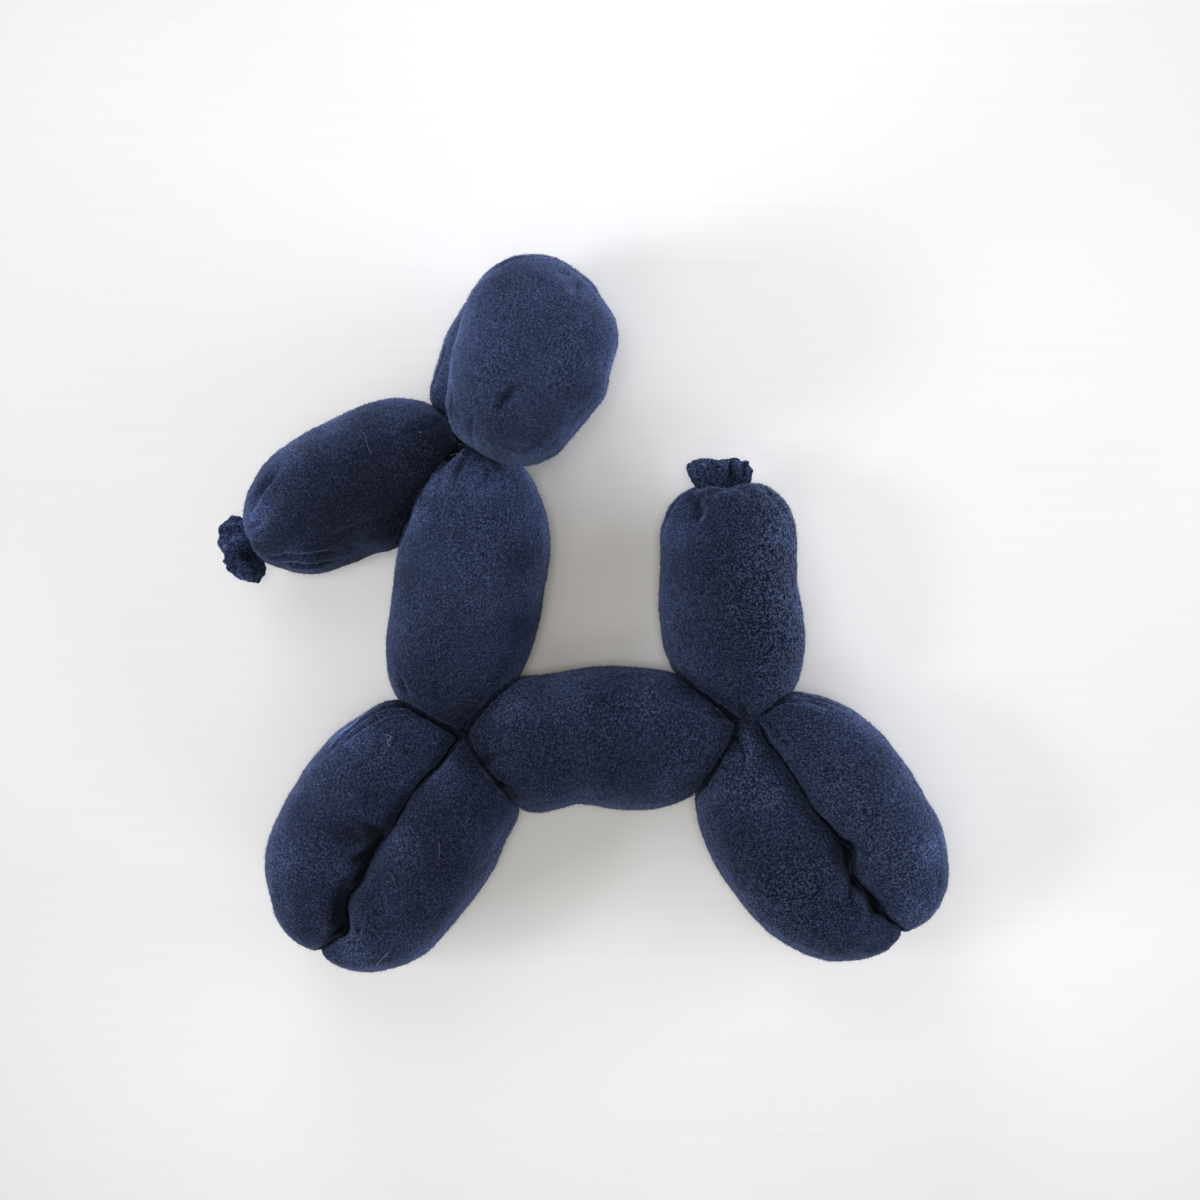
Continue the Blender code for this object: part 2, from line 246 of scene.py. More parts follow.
def lobeAxes(lobe):
    along = lobe["end"] - lobe["start"]
    length = np.linalg.norm(along)
    along = along / length
    across = np.array((-along[1], along[0], 0.0))
    across /= np.linalg.norm(across)
    return along, across, np.cross(along, across), length


def lobeReaches(lobe, share):
    # how far the four sides stand from the lobe's line at each share of its length
    reaches = {side: swelling(lobe[side], share) for side in ("left", "right", "top", "bottom")}
    ends = np.clip(np.minimum(share, 1 - share) / chain["closing"], 0, 1) ** 0.5
    for side, trims in lobe["trims"].items():
        reaches[side] = reaches[side] + 0.001 * ends * smoothLine(trims, share)
    if lobe["crease"]:
        along, across, up, length = lobeAxes(lobe)
        out = 0.001 * np.array([(x, y, 0) for x, y in lobe["crease"]]) - lobe["start"] * (1, 1, 0)
        path = smoothLine([(0, 0), *zip(out @ along / length, out @ across), (1, 0)], share)
        way = -1 if lobe["pressedSide"] == "right" else 1
        reaches[lobe["pressedSide"]] = ends * 0.001 * lobe["overlap"] + way * path
    return reaches


def lobePoints(lobe, ball):
    along, across, up, length = lobeAxes(lobe)
    first = -lobe["behindKnot"] / length
    last = 1 + lobe["overshoot"] / length
    scaled = (1 + ball[:, 0]) / 2
    share = first + (last - first) * scaled
    turn = np.arctan2(ball[:, 2], ball[:, 1])
    reaches = lobeReaches(lobe, scaled)
    halfWidth = (reaches["left"] + reaches["right"]) / 2
    halfHeight = (reaches["top"] + reaches["bottom"]) / 2
    facing = dict(
        left=np.cos(turn) >= 0, right=np.cos(turn) < 0, top=np.sin(turn) >= 0, bottom=np.sin(turn) < 0)
    roundness = np.where(facing.get(lobe["pressedSide"], False), lobe["flatness"], chain["roundness"])
    outLeft = reaches["left"] - halfWidth + halfWidth * rounded(np.cos(turn), roundness)
    outUp = reaches["top"] - halfHeight + halfHeight * rounded(np.sin(turn), roundness)
    hollow = np.exp(-((outLeft + 0.002)**2 + outUp**2) / lobe["navelWidth"]**2)
    navel = lobe["navel"] * hollow * np.clip((scaled - 0.8) / 0.2, 0, 1)
    return (lobe["start"] + along * (share * length - navel)[:, None]
            + across * outLeft[:, None] + up * outUp[:, None])


def lobePlaces(lobe, points):
    # share of the length, turn around the lobe in degrees, the lobe's own radius there, and its length
    along, across, up, length = lobeAxes(lobe)
    out = points - lobe["start"]
    share = np.clip(out @ along / length, 0.0, 1.0)
    reaches = lobeReaches(lobe, share)
    halfWidth = np.maximum((reaches["left"] + reaches["right"]) / 2, 1e-4)
    halfHeight = np.maximum((reaches["top"] + reaches["bottom"]) / 2, 1e-4)
    left = (out @ across - (reaches["left"] - halfWidth)) / halfWidth
    rise = (out @ up - (reaches["top"] - halfHeight)) / halfHeight
    return share, np.degrees(np.arctan2(rise, left)), (halfWidth + halfHeight) / 2, length


def lyingSides(start, end):
    middle = (start[2] + end[2]) / 2
    return dict(top=(chain["tubeHeight"] - middle, 0.5, 2.2, 2.2), bottom=(middle + chain["pressed"], 0.5, 2.3, 2.3))


touching = (chain["twinOverlap"], 0.5, 2.0, 2.0)
earLine = (headHeight + earTipHeight) / 2
earContact = chain["earHeight"] - earLine

# A side is its reach, the share of the length where it is widest, and its fullness before and after that.
# In millimetres: trims (share, more reach), folds (line, width, depth, lip) whose lines are (share, turn) with
# turn 0 at the lobe's left, 90 on top and 180 at its right, dents (line seen from above, widths, depths along
# it), crease (the sharp edge of the upper twin seen from above), clear (x, y, radius of a place without a
# groove or its painted shade) and lightAndShade (x, y, radius, how much lighter: painted light and painted shade
# seen from above, with the black of the holes in the creases). lightAndShadeSpots and coarseSpots are (share,
# turn, length, turn around, more painted light or coarser nap). paintedCreaseShade is for the thin and the wide
# painted shade at a contact, and gathers are (how many, depth). toneAndShade is a lobe's own lightness, partly
# the lie of its nap and partly painted shade.
plainLobe = dict(
    cells=32, nap=(1.0, 1.0, 1.0), toneAndShade=1.0, coarse=0.0, behindKnot=chain["knotOverlap"], overshoot=0.0,
    navel=0.0, navelWidth=0.0065, flatness=3.0, pressedSide=None, crease=None, paintedCreaseShade=(0.36, 0.36),
    trims={}, folds=[], dents=[], lightAndShade=[], lightAndShadeSpots=[], coarseSpots=[], clear=(0, 500, 1),
    startGathers=(6, 1.0), endGathers=(4, 0.6), gatherRun=0.013,
)
leg = dict(nap=(1.0, 1.1, 1.0), navel=0.0055, startGathers=(5, 0.9), endGathers=(4, 0.5), gatherRun=0.012)
leftTwin = dict(
    **leg, pressedSide="right", right=touching, overlap=0.4, paintedCreaseShade=(0.15, -0.2), overshoot=0.0048)
rightTwin = dict(**leg, pressedSide="left", left=touching, overlap=3.6)
ear = dict(start=head, end=earTip, navel=0.0060, navelWidth=0.0100)
neck = dict(
    name="neck", start=shoulder, end=head, nap=(1.0, 1.25, 1.0), seed=11, toneAndShade=1.27, coarse=-0.05,
    paintedCreaseShade=(0.25, -0.05), lightAndShadeSpots=[(0.12, 90, 0.24, 90, -0.54), (0.85, 90, 0.25, 80, 0.15)],
    left=(0.0282, 0.23, 2.15, 2.14), right=(0.0311, 0.65, 1.86, 2.23),
    trims=dict(
        left=[(0, 0), (0.2, 0.7), (0.3, 1.5), (0.4, 0.6), (0.5, -0.4), (0.65, 0), (0.73, 1.4), (0.81, 3.4),
              (0.89, 4.0), (0.95, 2.5), (1, 0)],
        right=[(0, 0), (0.2, -0.9), (0.32, -0.3), (0.5, -0.8), (0.65, 0.3), (0.8, -0.7), (0.9, -1.0), (1, 0)]),
    folds=[
        ([(0.982, 99), (0.948, 88), (0.910, 84), (0.862, 78)], 1.3, 1.9, 0.28),
        ([(0.934, 117), (0.903, 110), (0.871, 105)], 1.2, 0.9, 0.11),
        ([(0.214, 40), (0.181, 43), (0.144, 48)], 1.2, 1.2, 0.17),
        ([(0.231, 78), (0.178, 79), (0.128, 81)], 1.2, 0.8, 0.11),
    ],
    lightAndShade=[(-53.5, 48.2, 5, 1.2), (-60.3, 34.4, 5, 1.0), (-36, 48.1, 8, 0.8), (-19.8, 19.2, 10, -0.5),
           (-20.9, -4.2, 10, -0.6), (-63.5, 12, 8, -0.3)],
    endGathers=(6, 0.9),
)
muzzle = dict(
    name="muzzle", start=head, end=nose, seed=12, toneAndShade=0.66, coarse=-0.02,
    lightAndShadeSpots=[(0.60, 15, 0.6, 50, -0.52), (0.12, 40, 0.25, 90, -0.40)],
    left=(0.0244, 0.38, 2.00, 2.36), right=(0.0282, 0.50, 2.77, 2.09), navel=0.003,
    trims=dict(
        left=[(0, -2), (0.08, -4.5), (0.2, -5.5), (0.3, -4.0), (0.38, -1.4), (0.43, 0), (0.49, 0.3), (0.56, -0.9),
              (0.65, -0.5), (0.77, 0.6), (0.86, 0.9), (0.95, -0.9), (1, 0)],
        right=[(0, -2), (0.05, -3.0), (0.13, -1.9), (0.22, -0.7), (0.4, 0.3), (0.55, 0.8), (0.7, 1.9), (0.82, 2.7),
               (0.9, 1.5), (1, 0)]),
    folds=[
        ([(0.904, 116), (0.850, 120), (0.798, 124), (0.755, 125), (0.717, 126)], 1.6, 2.0, 0.39),
        ([(0.696, 52), (0.625, 52), (0.547, 55), (0.470, 56), (0.390, 53), (0.326, 49)], 1.8, 0.8, 0.0),
        ([(0.933, 52), (0.845, 55), (0.793, 48), (0.719, 44), (0.653, 41)], 1.2, 1.5, 0.28),
        ([(0.876, 45), (0.831, 37), (0.757, 30), (0.687, 29)], 1.2, 1.5, 0.17),
        ([(0.953, 108), (0.901, 99), (0.852, 97)], 1.1, 1.0, 0.17),
        ([(0.968, 91), (0.927, 77), (0.876, 76)], 1.1, 0.9, 0.17),
    ],
    lightAndShade=[(-117.6, 38.4, 8, 2.6), (-121.5, 31.5, 6, 0.9), (-106.4, 57.2, 8, 1.65), (-88.4, 66.9, 8, 1.3),
           (-64.9, 71.6, 9, 1.85), (-88.4, 35.5, 10, -0.4), (-70.3, 40.9, 10, -0.35), (-102.8, 19.2, 5, 2),
           (-81.2, 19.2, 6, 0.25)],
    startGathers=(4, 0.8), endGathers=(7, 0.8),
)
body = dict(
    name="body", start=shoulder, end=hip, nap=(0.9, 2.0, 1.0), seed=13, toneAndShade=0.75, coarse=0.12,
    left=(0.0220, 0.53, 2.49, 1.85), right=(0.0305, 0.67, 3.60, 1.86),
    trims=dict(
        left=[(0, 0), (0.2, 0.9), (0.3, -0.7), (0.5, 0.3), (0.7, 0.6), (1, 0)],
        right=[(0, 0), (0.08, 0.3), (0.14, -0.4), (0.20, 1.0), (0.28, 1.2), (0.4, -2.0), (0.55, 0.5), (0.68, 0.8),
               (0.8, 0.3), (1, 0)]),
    folds=[
        ([(0.382, 173), (0.403, 150), (0.416, 134)], 2.6, 0.9, 0.06),
    ],
    lightAndShade=[(-25.2, -31.3, 8, 1.35), (-3.5, -27.7, 10, 1.45), (23.6, -27.7, 10, 1.15), (-12.5, -56.6, 11, -0.15),
           (16.3, -56.6, 11, -0.3), (-34.9, -52.8, 2.4, -0.7), (-28.8, -60.9, 1.9, -0.7), (-24.2, -66.9, 2, -0.7)],
    endGathers=(6, 1.0), gatherRun=0.012,
)
tail = dict(
    name="tail", start=hip, end=tailTip, nap=(1.15, 2.0, 1.1), seed=14, toneAndShade=0.90, coarse=0.02,
    coarseSpots=[(0.55, 155, 0.5, 50, 1.5)], lightAndShadeSpots=[(0.5, 165, 0.6, 45, -0.10), (0.45, 88, 0.4, 28, -0.25)],
    left=(0.0264, 0.37, 1.88, 3.29), right=(0.0252, 0.41, 2.45, 4.10), navel=0.003,
    trims=dict(
        left=[(0, 0), (0.25, -1.2), (0.35, -0.2), (0.45, 0.5), (0.6, -0.3), (0.75, -0.6), (0.85, 0.5), (1, 0)],
        right=[(0, 0), (0.1, -0.5), (0.25, 0.6), (0.45, 0.7), (0.57, -0.5), (0.7, 0.9), (0.85, 1.9), (0.95, 0.4),
               (1, 0)]),
    folds=[
        ([(0.977, 28), (0.934, 54), (0.886, 61), (0.837, 58)], 1.8, 3.2, 0.55),
        ([(0.948, 61), (0.972, 81), (0.974, 107), (0.927, 114)], 1.2, 0.8, 0.17),
        ([(0.094, 86), (0.050, 86), (0.008, 91)], 1.3, 1.8, 0.22),
    ],
    lightAndShade=[(35.1, 30.1, 8, 0.95), (31.9, 4.8, 8, 0.2), (36.9, -18.7, 8, 0.4), (73.1, 30.1, 7, 0.55),
           (75.9, 4.8, 7, 0.25)],
    startGathers=(7, 1.0), endGathers=(6, 0.6), gatherRun=0.011,
    clear=(62.4, -39.8, 4.6),
)
upperEar = dict(
    name="upper_ear", **ear, seed=15, toneAndShade=1.46, coarse=-0.10, lightAndShadeSpots=[(0.08, 90, 0.14, 140, -0.25)],
    pressedSide="bottom",
    left=(0.0238, 0.60, 1.90, 1.90), right=(0.0368, 0.49, 2.60, 1.97),
    top=(2 * chain["earHeight"] - earLine, 0.5, 2.2, 2.2),
    bottom=(chain["twinOverlap"] - earContact, 0.5, 2.0, 2.0),
    behindKnot=-0.0014, overshoot=-0.0004,
    trims=dict(
        left=[(0, -5.0), (0.06, -4.8), (0.12, -4.4), (0.22, -5.6), (0.34, -5.0), (0.48, -3.2), (0.57, -1.8),
              (0.66, -0.5), (0.76, 0.4), (0.86, 1.1), (1, 0)],
        right=[(0, 0.5), (0.05, 0.5), (0.1, -0.6), (0.2, -1.2), (0.35, -2.1), (0.48, -1.6), (0.57, -0.1),
               (0.67, -1.2), (0.75, -0.2), (0.86, 2.2), (0.91, 1.5), (0.95, -1.2), (1, -0.5)]),
    folds=[
        ([(0.938, 75), (0.951, 90), (0.973, 108)], 1.4, 0.9, 0.17),
        ([(0.908, 89), (0.923, 103), (0.937, 120)], 1.4, 0.7, 0.11),
    ],
    dents=[
        ([(-19.0, 79.7), (-22.1, 76.6), (-24.8, 73.9), (-26.9, 71.1),
          (-28.9, 67.0)], (1.6, 1.9, 1.3), (0.2, 1.9, 2.5, 1.2, 0.1)),
        ([(-22.8, 70.4), (-19.3, 74.5)], (3.2, 3.2), (-0.7, -0.7)),
    ],
    lightAndShade=[(-43.2, 66.9, 9, -0.35), (-28.5, 54.3, 6, -0.5), (-17.5, 50.6, 6, -0.55), (-6.6, 53.2, 6, -0.5),
           (4.3, 64.4, 7, -0.4), (-28.5, 57.7, 11, -0.5), (-10.4, 59.4, 11, -0.5), (3.9, 74.7, 11, -0.42),
           (-30.2, 96.9, 14, 0.35)],
)
lowerEar = dict(
    name="lower_ear", **ear, cells=28, seed=16, toneAndShade=1.60, coarse=-0.05, pressedSide="top",
    left=(0.0280, 0.60, 1.90, 1.90), right=(0.0326, 0.49, 2.20, 1.97),
    top=(chain["twinOverlap"] + earContact, 0.5, 2.0, 2.0), bottom=(earLine + chain["pressed"], 0.5, 2.4, 2.4),
    overshoot=-0.0014,
    trims=dict(
        left=[(0, 2), (0.07, 4.4), (0.12, 4.4), (0.17, 3.0), (0.25, 2.0), (0.4, 1.4), (0.5, 0.2), (0.6, -0.6),
              (0.78, 1.0), (0.9, -0.9), (1, 0)],
        right=[(0, 0), (0.5, 0.2), (0.58, 0.6), (0.68, -1.1), (0.76, -0.2), (0.85, 0.5), (0.90, -0.4),
               (0.95, -2.5), (1, -1)]),
    folds=[
        ([(0.078, 20), (0.150, 36), (0.228, 36), (0.312, 35), (0.404, 30), (0.496, 19)], 0.9, 0.9, 0.17),
    ],
)
# the sharp edge of the upper twin as it is seen from above, in millimetres
frontCrease = [
    (-42.8, -44.2), (-45.0, -46.8), (-47.9, -50.4), (-50.8, -54.0), (-55.5, -58.8), (-61.0, -64.2), (-65.0, -70.7),
    (-67.9, -76.2), (-70.8, -79.8), (-73.3, -83.1), (-75.5, -87.8), (-77.3, -92.2), (-79.9, -96.9),
    (-82.8, -100.5), (-83.5, -104.2), (-83.1, -108.5), (-82.4, -111.8), (-83.5, -113.2), (-87.1, -114.7),
    (-90.7, -117.2), (-94.4, -120.5),
]
frontLeft = dict(
    name="front_leg_left", start=shoulder, end=frontFoot, seed=17, toneAndShade=0.60, coarse=0.05,
    flatness=3.1, crease=frontCrease, left=(0.0371, 0.56, 2.60, 2.27), **leftTwin,
    trims=dict(
        left=[(0, 0), (0.1, 3.0), (0.15, 3.4), (0.2, 1.7), (0.27, 0.1), (0.36, 0.3), (0.45, 0.1), (0.65, -0.6),
              (0.76, 0.3), (0.85, -0.4), (0.92, -0.6), (1, 0)]),
    folds=[
        ([(0.685, 119), (0.716, 109), (0.774, 103)], 1.6, 0.5, 0.11),
    ],
    dents=[
        ([(-80.2, -101.6), (-79.1, -109.6)], (4.0, 4.0), (-1.2, -1.2)),
        ([(-80.6, -115.0), (-79.1, -112.9), (-75.5, -114.7)], (1.2, 0.8), (1.8, 0.3)),
        ([(-66.0, -79.0), (-70.0, -88.0)], (3.5, 3.5), (-0.6, -0.6)),
    ],
    lightAndShade=[(-50.5, -58.4, 7, 1.3), (-64.2, -83.7, 7, 1.15), (-70.3, -105.4, 8, 0.4), (-82.3, -123.4, 7, 1.7),
           (-61.3, -121.6, 8, 0.7), (-42.5, -89.1, 8, -0.15), (-33.1, -69.2, 7, -0.15), (-34.9, -54.2, 2.6, -0.75),
           (-29.9, -61.7, 2.6, -0.85), (-25.6, -67.7, 2.6, -0.85)],
)
frontRight = dict(
    name="front_leg_right", start=shoulder, end=frontFoot, seed=18, toneAndShade=1.15, coarse=0.02,
    lightAndShadeSpots=[(0.80, 90, 0.35, 90, -0.15)],
    flatness=2.25, crease=frontCrease, right=(0.0405, 0.55, 3.28, 2.30), **rightTwin,
    overshoot=0.0060, paintedCreaseShade=(0.62, 0.42),
    trims=dict(
        right=[(0, 0), (0.1, -0.1), (0.2, -0.9), (0.27, 0.2), (0.45, 0.8), (0.6, 0.3), (0.7, -0.3), (0.78, -0.9),
               (0.85, -1.9), (0.91, -2.9), (0.96, -1.2), (1, 0)]),
    folds=[
        ([(0.030, 138), (0.076, 144), (0.172, 151), (0.274, 144), (0.348, 143)], 0.8, 1.8, 0.40),
        ([(0.050, 123), (0.104, 133), (0.197, 139), (0.292, 135)], 0.8, 1.6, 0.40),
        ([(0.016, -174), (0.060, 159), (0.144, 167), (0.241, 162)], 0.8, 1.6, 0.40),
    ],
    dents=[
        ([(-75.9, -75.5), (-73.3, -78.4), (-70.8, -80.2)], (0.8, 2.4), (0.8, 3.6)),
        ([(-73.7, -81.6), (-75.9, -85.6), (-79.5, -87.1), (-83.8, -87.4)], (2.0, 0.9), (3.4, 0.5)),
        ([(-77.7, -89.3), (-79.9, -93.3), (-81.7, -96.9)], (1.5, 1.5), (1.8, 2.0)),
        ([(-84.2, -100.4), (-85.2, -105.6), (-85.2, -109.6), (-84.9, -112.9)], (1.6, 2.6), (2.0, 4.2)),
        ([(-87.1, -114.3), (-90.4, -116.5), (-93.6, -119.4)], (1.1, 0.7), (2.0, 0.5)),
        ([(-83.5, -80.5), (-80.2, -82.6)], (3.6, 3.2), (-1.8, -1.6)),
    ],
    lightAndShade=[(-77.4, -76.2, 1.3, -0.8), (-75.4, -78.8, 2.4, -0.93), (-73.8, -81.4, 2.8, -0.95),
           (-75.8, -85.3, 2.6, -0.93), (-78.3, -88.9, 2.5, -0.93), (-81.4, -89.2, 1.7, -0.8),
           (-84.2, -89.5, 1.3, -0.5), (-85.4, -102.0, 2.4, -0.88), (-86.7, -105.6, 3.0, -0.95),
           (-87.3, -109.3, 3.3, -0.96), (-87.3, -112.9, 3.0, -0.95), (-90.0, -116.2, 1.7, -0.75),
           (-60.6, -48.7, 8, -0.35), (-72.9, -65.6, 8, -0.5), (-83, -80.1, 7, -0.65), (-92, -99.9, 8, -0.25),
           (-100.3, -115.1, 6, -0.35), (-107.5, -89.1, 8, 0.6), (-84.8, -41.4, 8, 1.05)],
)
hindCrease = [
    (60.0, -39.9), (64.3, -41.3), (69.1, -47.9), (74.5, -55.1), (78.9, -62.4), (82.1, -67.8), (84.7, -72.2),
    (88.0, -75.1), (91.2, -78.4), (94.5, -81.3), (97.8, -83.1), (98.5, -85.3), (97.8, -88.9), (98.1, -93.3),
    (99.9, -95.8), (102.5, -98.7), (105.0, -101.6), (107.2, -103.8), (108.7, -106.7), (110.5, -108.9),
    (113.4, -111.1), (115.9, -113.6), (118.5, -115.8),
]
hindLeft = dict(
    name="hind_leg_left", start=hip, end=hindFoot, seed=19, toneAndShade=1.03, coarse=0.16,
    crease=hindCrease, left=(0.0375, 0.49, 2.66, 2.43), **leftTwin,
    trims=dict(
        left=[(0, 0), (0.1, -1.2), (0.2, -0.2), (0.3, 0.4), (0.5, 0.3), (0.65, -0.9), (0.73, 0.0), (0.8, -0.2),
              (0.87, -0.3), (0.94, 0.2), (1, 0)]),
    folds=[
        ([(0.013, 62), (0.037, 55), (0.076, 53)], 1.4, 1.0, 0.17),
        ([(0.075, 47), (0.113, 42), (0.167, 46)], 1.4, 0.8, 0.17),
    ],
    dents=[
        ([(101.8, -88.2), (103.9, -94.0)], (4.0, 3.6), (-1.4, -1.2)),
        ([(98.1, -83.5), (100.7, -82.4)], (1.1, 0.8), (3.0, 0.5)),
    ],
    lightAndShade=[(77.7, -44, 8, -0.2), (97.6, -45.8, 8, 0.3), (115.7, -63.8, 8, 0.4), (127.2, -85.5, 7, 1.25),
           (121.1, -105.4, 7, 0.75)],
)
hindRight = dict(
    name="hind_leg_right", start=hip, end=hindFoot, seed=20, toneAndShade=0.71, coarse=0.17,
    coarseSpots=[(0.62, 95, 0.18, 45, 0.4)],
    flatness=2.3, crease=hindCrease, right=(0.0410, 0.54, 2.50, 2.29), **rightTwin,
    overshoot=0.0048, paintedCreaseShade=(0.55, 0.26),
    trims=dict(
        right=[(0, 0), (0.1, -0.2), (0.3, 0.2), (0.4, 0.6), (0.5, 0.4), (0.75, -0.2), (0.85, 0.0), (0.92, -0.2),
               (1, 0)]),
    folds=[
        ([(0.044, 79), (0.075, 80), (0.104, 78), (0.125, 83)], 1.3, 0.8, 0.28),
    ],
    dents=[
        ([(57.5, -45.3), (58.9, -48.6), (60.0, -51.9), (59.7, -56.0)], (0.9, 0.6), (1.8, 0.7)),
        ([(91.6, -80.9), (95.6, -84.5), (96.3, -88.5), (96.7, -92.5),
          (98.5, -95.4)], (1.2, 2.1, 2.1), (1.5, 2.8, 2.8)),
        ([(99.2, -96.9), (101.0, -99.8), (103.9, -101.6)], (2.0, 1.6), (2.5, 2.5)),
        ([(105.4, -103.8), (106.5, -107.4)], (2.0, 2.4), (2.8, 4.0)),
        ([(107.9, -108.5), (111.9, -110.7), (115.6, -113.6)], (1.3, 0.8), (2.2, 0.6)),
        ([(98.5, -98.3), (97.4, -102.3), (96.7, -107.1)], (1.0, 0.7), (1.4, 0.4)),
        ([(101.0, -103.1), (102.5, -107.1)], (2.8, 2.8), (-1.4, -1.3)),
    ],
    lightAndShade=[(61.1, -43.1, 3.0, 0.5), (65.1, -47.5, 3.4, 0.7), (94.0, -84.5, 2.4, -0.88), (94.2, -88.2, 2.7, -0.93),
           (95.4, -92.2, 2.3, -0.9), (91.3, -86.7, 2.6, -0.35), (98.8, -97.3, 1.8, -0.85),
           (102.4, -100.9, 1.8, -0.85), (104.9, -104.2, 2.3, -0.93), (106.0, -107.4, 2.4, -0.93),
           (110.5, -110.3, 1.3, -0.7), (97.8, -101.6, 1.0, -0.5), (97.0, -104.9, 0.9, -0.4),
           (56.1, -47.6, 8, 1.65), (47.8, -63.8, 8, 0.6), (66.9, -63.8, 9, 1.05)],
    clear=(62.4, -39.8, 4.6),
)
lobes = [{**plainLobe, **lyingSides(lobe["start"], lobe["end"]), **lobe} for lobe in (
    body, neck, muzzle, upperEar, lowerEar, tail, frontLeft, frontRight, hindLeft, hindRight)]


# ---- folds, gathers, the grooves where lobes meet, and the painted shade in all of them

def foldDepth(place, fold):
    # how far each point sinks for one fold: a valley along the line with a low lip on both sides
    share, turn, radius, length = place
    line, *sizes = fold
    width, depth, lip = (0.001 * size for size in sizes)
    nearest, run = nearestOn([
        ((share - s0) * length, np.radians(wrapped(turn - t0)) * radius,
         (s1 - s0) * length, np.radians(t1 - t0) * radius) for (s0, t0), (s1, t1) in zip(line, line[1:])])
    local = np.minimum(width, 0.30 * radius + 0.0004)      # narrower where the lobe is thin
    strength = np.sin(np.pi * np.clip(run, 0.02, 0.98)) ** 0.7      # fading at both ends of the line
    lipAway, lipWidth = 2.4 * local, 1.5 * local
    return (depth * bell(nearest, local) - lip * bell(nearest - lipAway, lipWidth)) * strength


def dentDepth(points, dent):
    # how far the cloth drops straight down along a line seen from above; less than 0 is a bulge
    line = 0.001 * np.array(dent[0])
    x, y, z = points.T
    nearest, run = nearestOn([(x - x0, y - y0, x1 - x0, y1 - y0) for (x0, y0), (x1, y1) in zip(line, line[1:])])
    width, depth = (0.001 * np.interp(run, np.linspace(0, 1, len(stops)), stops) for stops in dent[1:])
    upper = np.clip((z - grooves["dentFrom"]) / grooves["dentRise"], 0, 1)
    return depth * upper * bell(nearest, width)


def withPaintedLight(points, shade, lightAndShade):
    # painted light and shade seen from above: each spot makes the cloth's colour lighter or darker above a height
    upper = np.clip((points[:, 2] - light["toneFrom"]) / light["toneRise"], 0, 1)
    for x, y, radius, change in lightAndShade:
        away = np.hypot(points[:, 0] * 1000 - x, points[:, 1] * 1000 - y) / radius
        shade = shade * (1 + change * upper * bell(away))
    return shade


def spotted(place, spots):
    share, turn, _, _ = place
    return [more * bell(np.hypot((share - at) / length, wrapped(turn - angle) / around))
            for at, angle, length, around, more in spots]


def gatherFolds(lobe):
    # small folds that fan out from the cinch at each end
    rng = np.random.default_rng(lobe["seed"])
    length = lobeAxes(lobe)[3]
    folds = []
    for foot, way, (count, depth) in ((0.0, 1, lobe["startGathers"]), (1.0, -1, lobe["endGathers"])):
        for k in range(count):
            turn = (k + rng.uniform(0.1, 0.9)) * 360 / count
            run = lobe["gatherRun"] / length * rng.uniform(0.6, 1.5)
            bend = rng.uniform(-14, 14)
            line = [(foot + way * (0.02 + run * part), turn + bend * part) for part in (0, 0.5, 1)]
            folds.append((line, rng.uniform(1.1, 1.9), depth * rng.uniform(0.5, 1.3), 0.08))
    return folds


grooves = dict(
    reach=0.012, farther=0.05,      # other lobes are looked for this far off, and what stands for farther ones
    # thin and wide are the widths of the painted shade along a contact, and tieShade is painted shade in the pit by
    # each tie
    depth=0.0010, width=0.0010, thin=0.0011, wide=0.0042,
    clump=0.009, unevenWidth=0.35, unevenDepth=0.5,
    tieReach=0.007, tieWidth=0.0024, tieDepth=0.0010, tieShade=0.20,
    facingFrom=-0.10, facingRise=0.45,      # grooves and ties show on cloth that faces up
    dentFrom=0.024, dentRise=0.010,         # and dents above this height
)
lumps = ((0.026, 0.0006, 0), (0.007, 0.00024, 40))      # size, height and seed
napClumps = dict(cell=0.0015, height=0.00011, fineCell=0.0009, fineHeight=0.00010)
brushed = dict(clump=0.014, uneven=0.12, least=-0.3, most=1.5)      # how coarse the nap is
light = dict(
    wide=(2.5, 3.4), narrow=(2.8, 7), flank=2.1,        # painted sheen: the steep flanks are painted lighter, most of all where they face along y
    across=0.7,                                         # most of all across its own lie
    fold=0.34, foldDeep=0.0018, dent=0.9, dentDeep=0.0030,      # painted shade in folds and dents, and the depth where it is full
    brightest=-0.3, darkest=0.93, clump=0.018, uneven=0.05, toneFrom=0.020, toneRise=0.006,
)


def gapsTo(points, lobe):
    # distance from each point to the nearest of the other lobes, negative inside it
    gaps = np.full(len(points), grooves["farther"])
    for name, (tree, low, high) in trees.items():
        near = ((points > low - grooves["reach"]) & (points < high + grooves["reach"])).all(1)
        for k in np.nonzero(near & (name != lobe["name"]))[0]:
            spot, normal, index, distance = tree.find_nearest(Vector(points[k]), grooves["reach"])
            if spot is not None:
                inside = (Vector(points[k]) - spot).dot(normal) < 0
                gaps[k] = min(gaps[k], -distance if inside else distance)
    return gaps


balls = {cells: quadBall(cells) for cells in (24, 28, 32)}      # cells along each side of the ball's cube
trees = {}
for lobe in lobes:
    points = lobePoints(lobe, balls[24][0])
    trees[lobe["name"]] = (BVHTree.FromPolygons(points.tolist(), balls[24][1].tolist()), points.min(0), points.max(0))
print("balloon dog: lobes laid out", len(lobes))


# ---- cloth simulation

gathering = dict(
    frames=18, pressure=3.0, stiffness=9.0, bending=0.6, mass=0.0003,
    extraGirth=0.34, run=0.017,     # the tube has this much more cloth than the lobe close to a tie
    waver=0.00025, waverCell=0.004, calm=36, most=0.0030,
    heldShare=0.03, heldGap=-0.002, heldHeight=0.0015,      # cloth by the ties, in contacts and on the board
)


